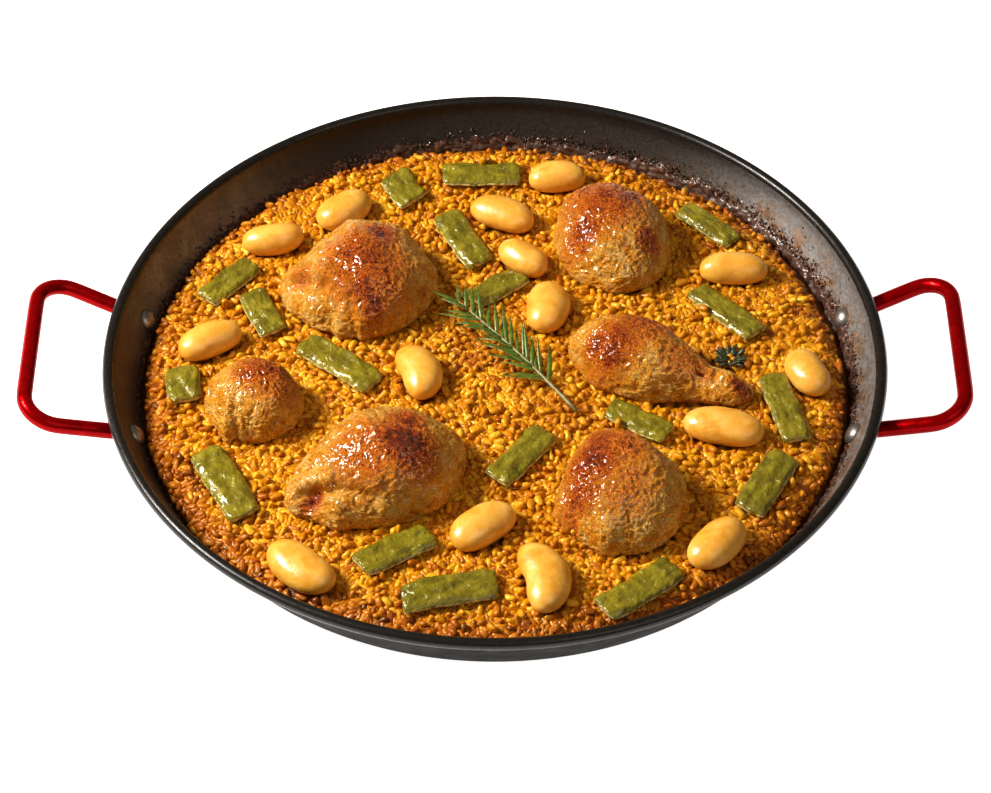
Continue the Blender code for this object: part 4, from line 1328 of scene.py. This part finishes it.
def crust_shape():
    bm = bmesh.new()
    steps = 1100
    rows = 26
    bmesh.ops.create_grid(bm, x_segments=steps, y_segments=rows, size=0.5)
    for vert in bm.verts:
        angle = (vert.co.x + 0.5) * math.tau
        z = 15.0 + (vert.co.y + 0.5) * 16.0
        off = max(crust_thickness(angle, z), -0.5)
        if vert.co.y > 0.499 or vert.co.y < -0.499:
            off = -0.5
        radius = wall_inside(z) - off * 0.861
        vert.co = (radius * math.cos(angle), radius * math.sin(angle), z + off * 0.509)
    return bm


def crust_paint():
    paint = Paint("burnt_crust", Coat_Weight=0.30, Coat_Roughness=0.15, Specular_Tint=(1.0, 0.8, 0.65, 1.0))
    cloud = paint.noise(1.8, 4, 0.65, 0.5)
    colour = paint.ramp(cloud, [(0.34, (0.006, 0.0024, 0.0015)), (0.50, (0.030, 0.007, 0.003)),
                                (0.64, (0.10, 0.024, 0.006)), (0.82, (0.26, 0.10, 0.03))])
    return paint.finish(colour, paint.span(cloud, 0.3, 0.7, 0.65, 0.35), paint.relief(paint.noise(0.8, 3), 0.4, 0.8))


burnt = crust_paint()
crust_piece = finish_piece(crust_shape(), "wall_crust", burnt, [])
print("crust faces:", len(crust_piece.data.polygons))

# %% Crumbs stuck to the wall
CRUMB_COUNT = 3200


def make_crumbs():
    """Small burnt chips on the wall, thickest at the back and the right."""
    bm = bmesh.new()
    bmesh.ops.create_icosphere(bm, subdivisions=1, radius=0.5)
    form = np.array([v.co for v in bm.verts])
    triangles = np.array([[v.index for v in f.verts] for f in bm.faces])
    bm.free()
    rng = np.random.default_rng(33)
    angle = rng.uniform(0, math.tau, 8 * CRUMB_COUNT)
    back = 0.5 + 0.5 * np.cos(angle - 1.0)
    angle = angle[rng.uniform(0, 1, len(angle)) < 0.22 + 0.78 * back][:CRUMB_COUNT]
    back = 0.5 + 0.5 * np.cos(angle - 1.0)
    rise = rng.exponential(1.0, CRUMB_COUNT) * (1.2 + 1.7 * back)
    z = np.clip(17.0 + 6.5 * back + rise, 16.0, 36.0)
    size = rng.uniform(0.5, 1.9, CRUMB_COUNT) * np.clip(1.2 - 0.09 * rise, 0.3, 1.2)
    radius = WALL_RADIUS + (z - WALL_HEIGHT) / WALL_SLOPE - 0.20 * size
    middles = np.stack([radius * np.cos(angle), radius * np.sin(angle), z], 1)
    turns = rng.normal(size=(CRUMB_COUNT, 3, 3))
    turns /= np.linalg.norm(turns, axis=2, keepdims=True)
    turns *= size[:, None, None] * rng.uniform(0.5, 1.5, (CRUMB_COUNT, 3, 1))
    points = (np.einsum("pk,nkd->npd", form, turns) + middles[:, None, :]).reshape(-1, 3) * MM
    faces = (triangles[None] + (np.arange(CRUMB_COUNT) * len(form))[:, None, None]).reshape(-1, 3)
    mesh = bpy.data.meshes.new("wall_crumbs")
    mesh.from_pydata(points.tolist(), [], faces.tolist())
    mesh.materials.append(burnt)
    piece = bpy.data.objects.new("wall_crumbs", mesh)
    bpy.context.scene.collection.objects.link(piece)
    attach(piece, "root")
    return piece


crumbs = make_crumbs()
print("crumb faces:", len(crumbs.data.polygons))

# %% [markdown]
# ## Floor, light and camera
# The dish stands on a plain white floor. One soft lamp from the left gives the long highlights on
# the beans, a weaker one from the right opens the shadows, and a white sky fills the rest. The
# camera is far away with a long lens, looking down at about 45 degrees.

# %% Floor


def make_floor():
    bm = bmesh.new()
    bmesh.ops.create_grid(bm, x_segments=1, y_segments=1, size=4.0)
    bmesh.ops.translate(bm, vec=(0, 0, pan_low.z - 0.0005), verts=bm.verts)
    mesh = bpy.data.meshes.new("floor")
    bm.to_mesh(mesh)
    bm.free()
    floor = bpy.data.objects.new("floor", mesh)
    bpy.context.scene.collection.objects.link(floor)
    paint = Paint("floor_white", roughness=0.9)
    paint.shader.inputs["Base Color"].default_value = (0.9, 0.9, 0.9, 1)
    paint.shader.inputs["Emission Color"].default_value = (1, 1, 1, 1)
    paint.shader.inputs["Emission Strength"].default_value = 0.95
    mesh.materials.append(paint.material)


make_floor()

# %% Lights


def make_lamp(name, place, size, watts, colour, target=(0, 0, 0.03)):
    lamp = bpy.data.lights.new(name, 'AREA')
    lamp.size = size
    lamp.energy = watts
    lamp.color = colour
    holder = bpy.data.objects.new(name, lamp)
    holder.location = place
    holder.rotation_euler = (Vector(target) - Vector(place)).to_track_quat('-Z', 'Y').to_euler()
    bpy.context.scene.collection.objects.link(holder)


make_lamp("key_lamp", (-1.25, 0.12, 1.15), 0.46, 62.0, (1.0, 0.95, 0.88))
make_lamp("fill_lamp", (0.9, -1.1, 1.7), 1.3, 7.0, (1.0, 0.90, 0.78))
world = bpy.data.worlds.new("warm_sky")
bpy.context.scene.world = world
world.use_nodes = True
world.node_tree.nodes["Background"].inputs["Color"].default_value = (1.0, 0.82, 0.62, 1)
world.node_tree.nodes["Background"].inputs["Strength"].default_value = 0.18
bpy.context.scene.view_settings.view_transform = 'Standard'

# %% Camera
LENS = 125.0
DISTANCE = 1.7577
ELEVATION = math.radians(44.337)
AIM_DOWN = math.radians(45.087)
ROLL = math.radians(-0.11)
camera_data = bpy.data.cameras.new("camera")
camera_data.lens = LENS
camera_data.sensor_width = 36.0
camera = bpy.data.objects.new("camera", camera_data)
aim_height = (RIM_HEIGHT - 3.0) * MM
camera.location = (0.0003, -DISTANCE * math.cos(ELEVATION), aim_height + DISTANCE * math.sin(ELEVATION))
tilt = Matrix.Rotation(math.pi / 2 - AIM_DOWN, 3, 'X') @ Matrix.Rotation(ROLL, 3, 'Z')
camera.rotation_euler = tilt.to_euler()
bpy.context.scene.collection.objects.link(camera)
bpy.context.scene.camera = camera
print("camera at", [round(c, 3) for c in camera.location])
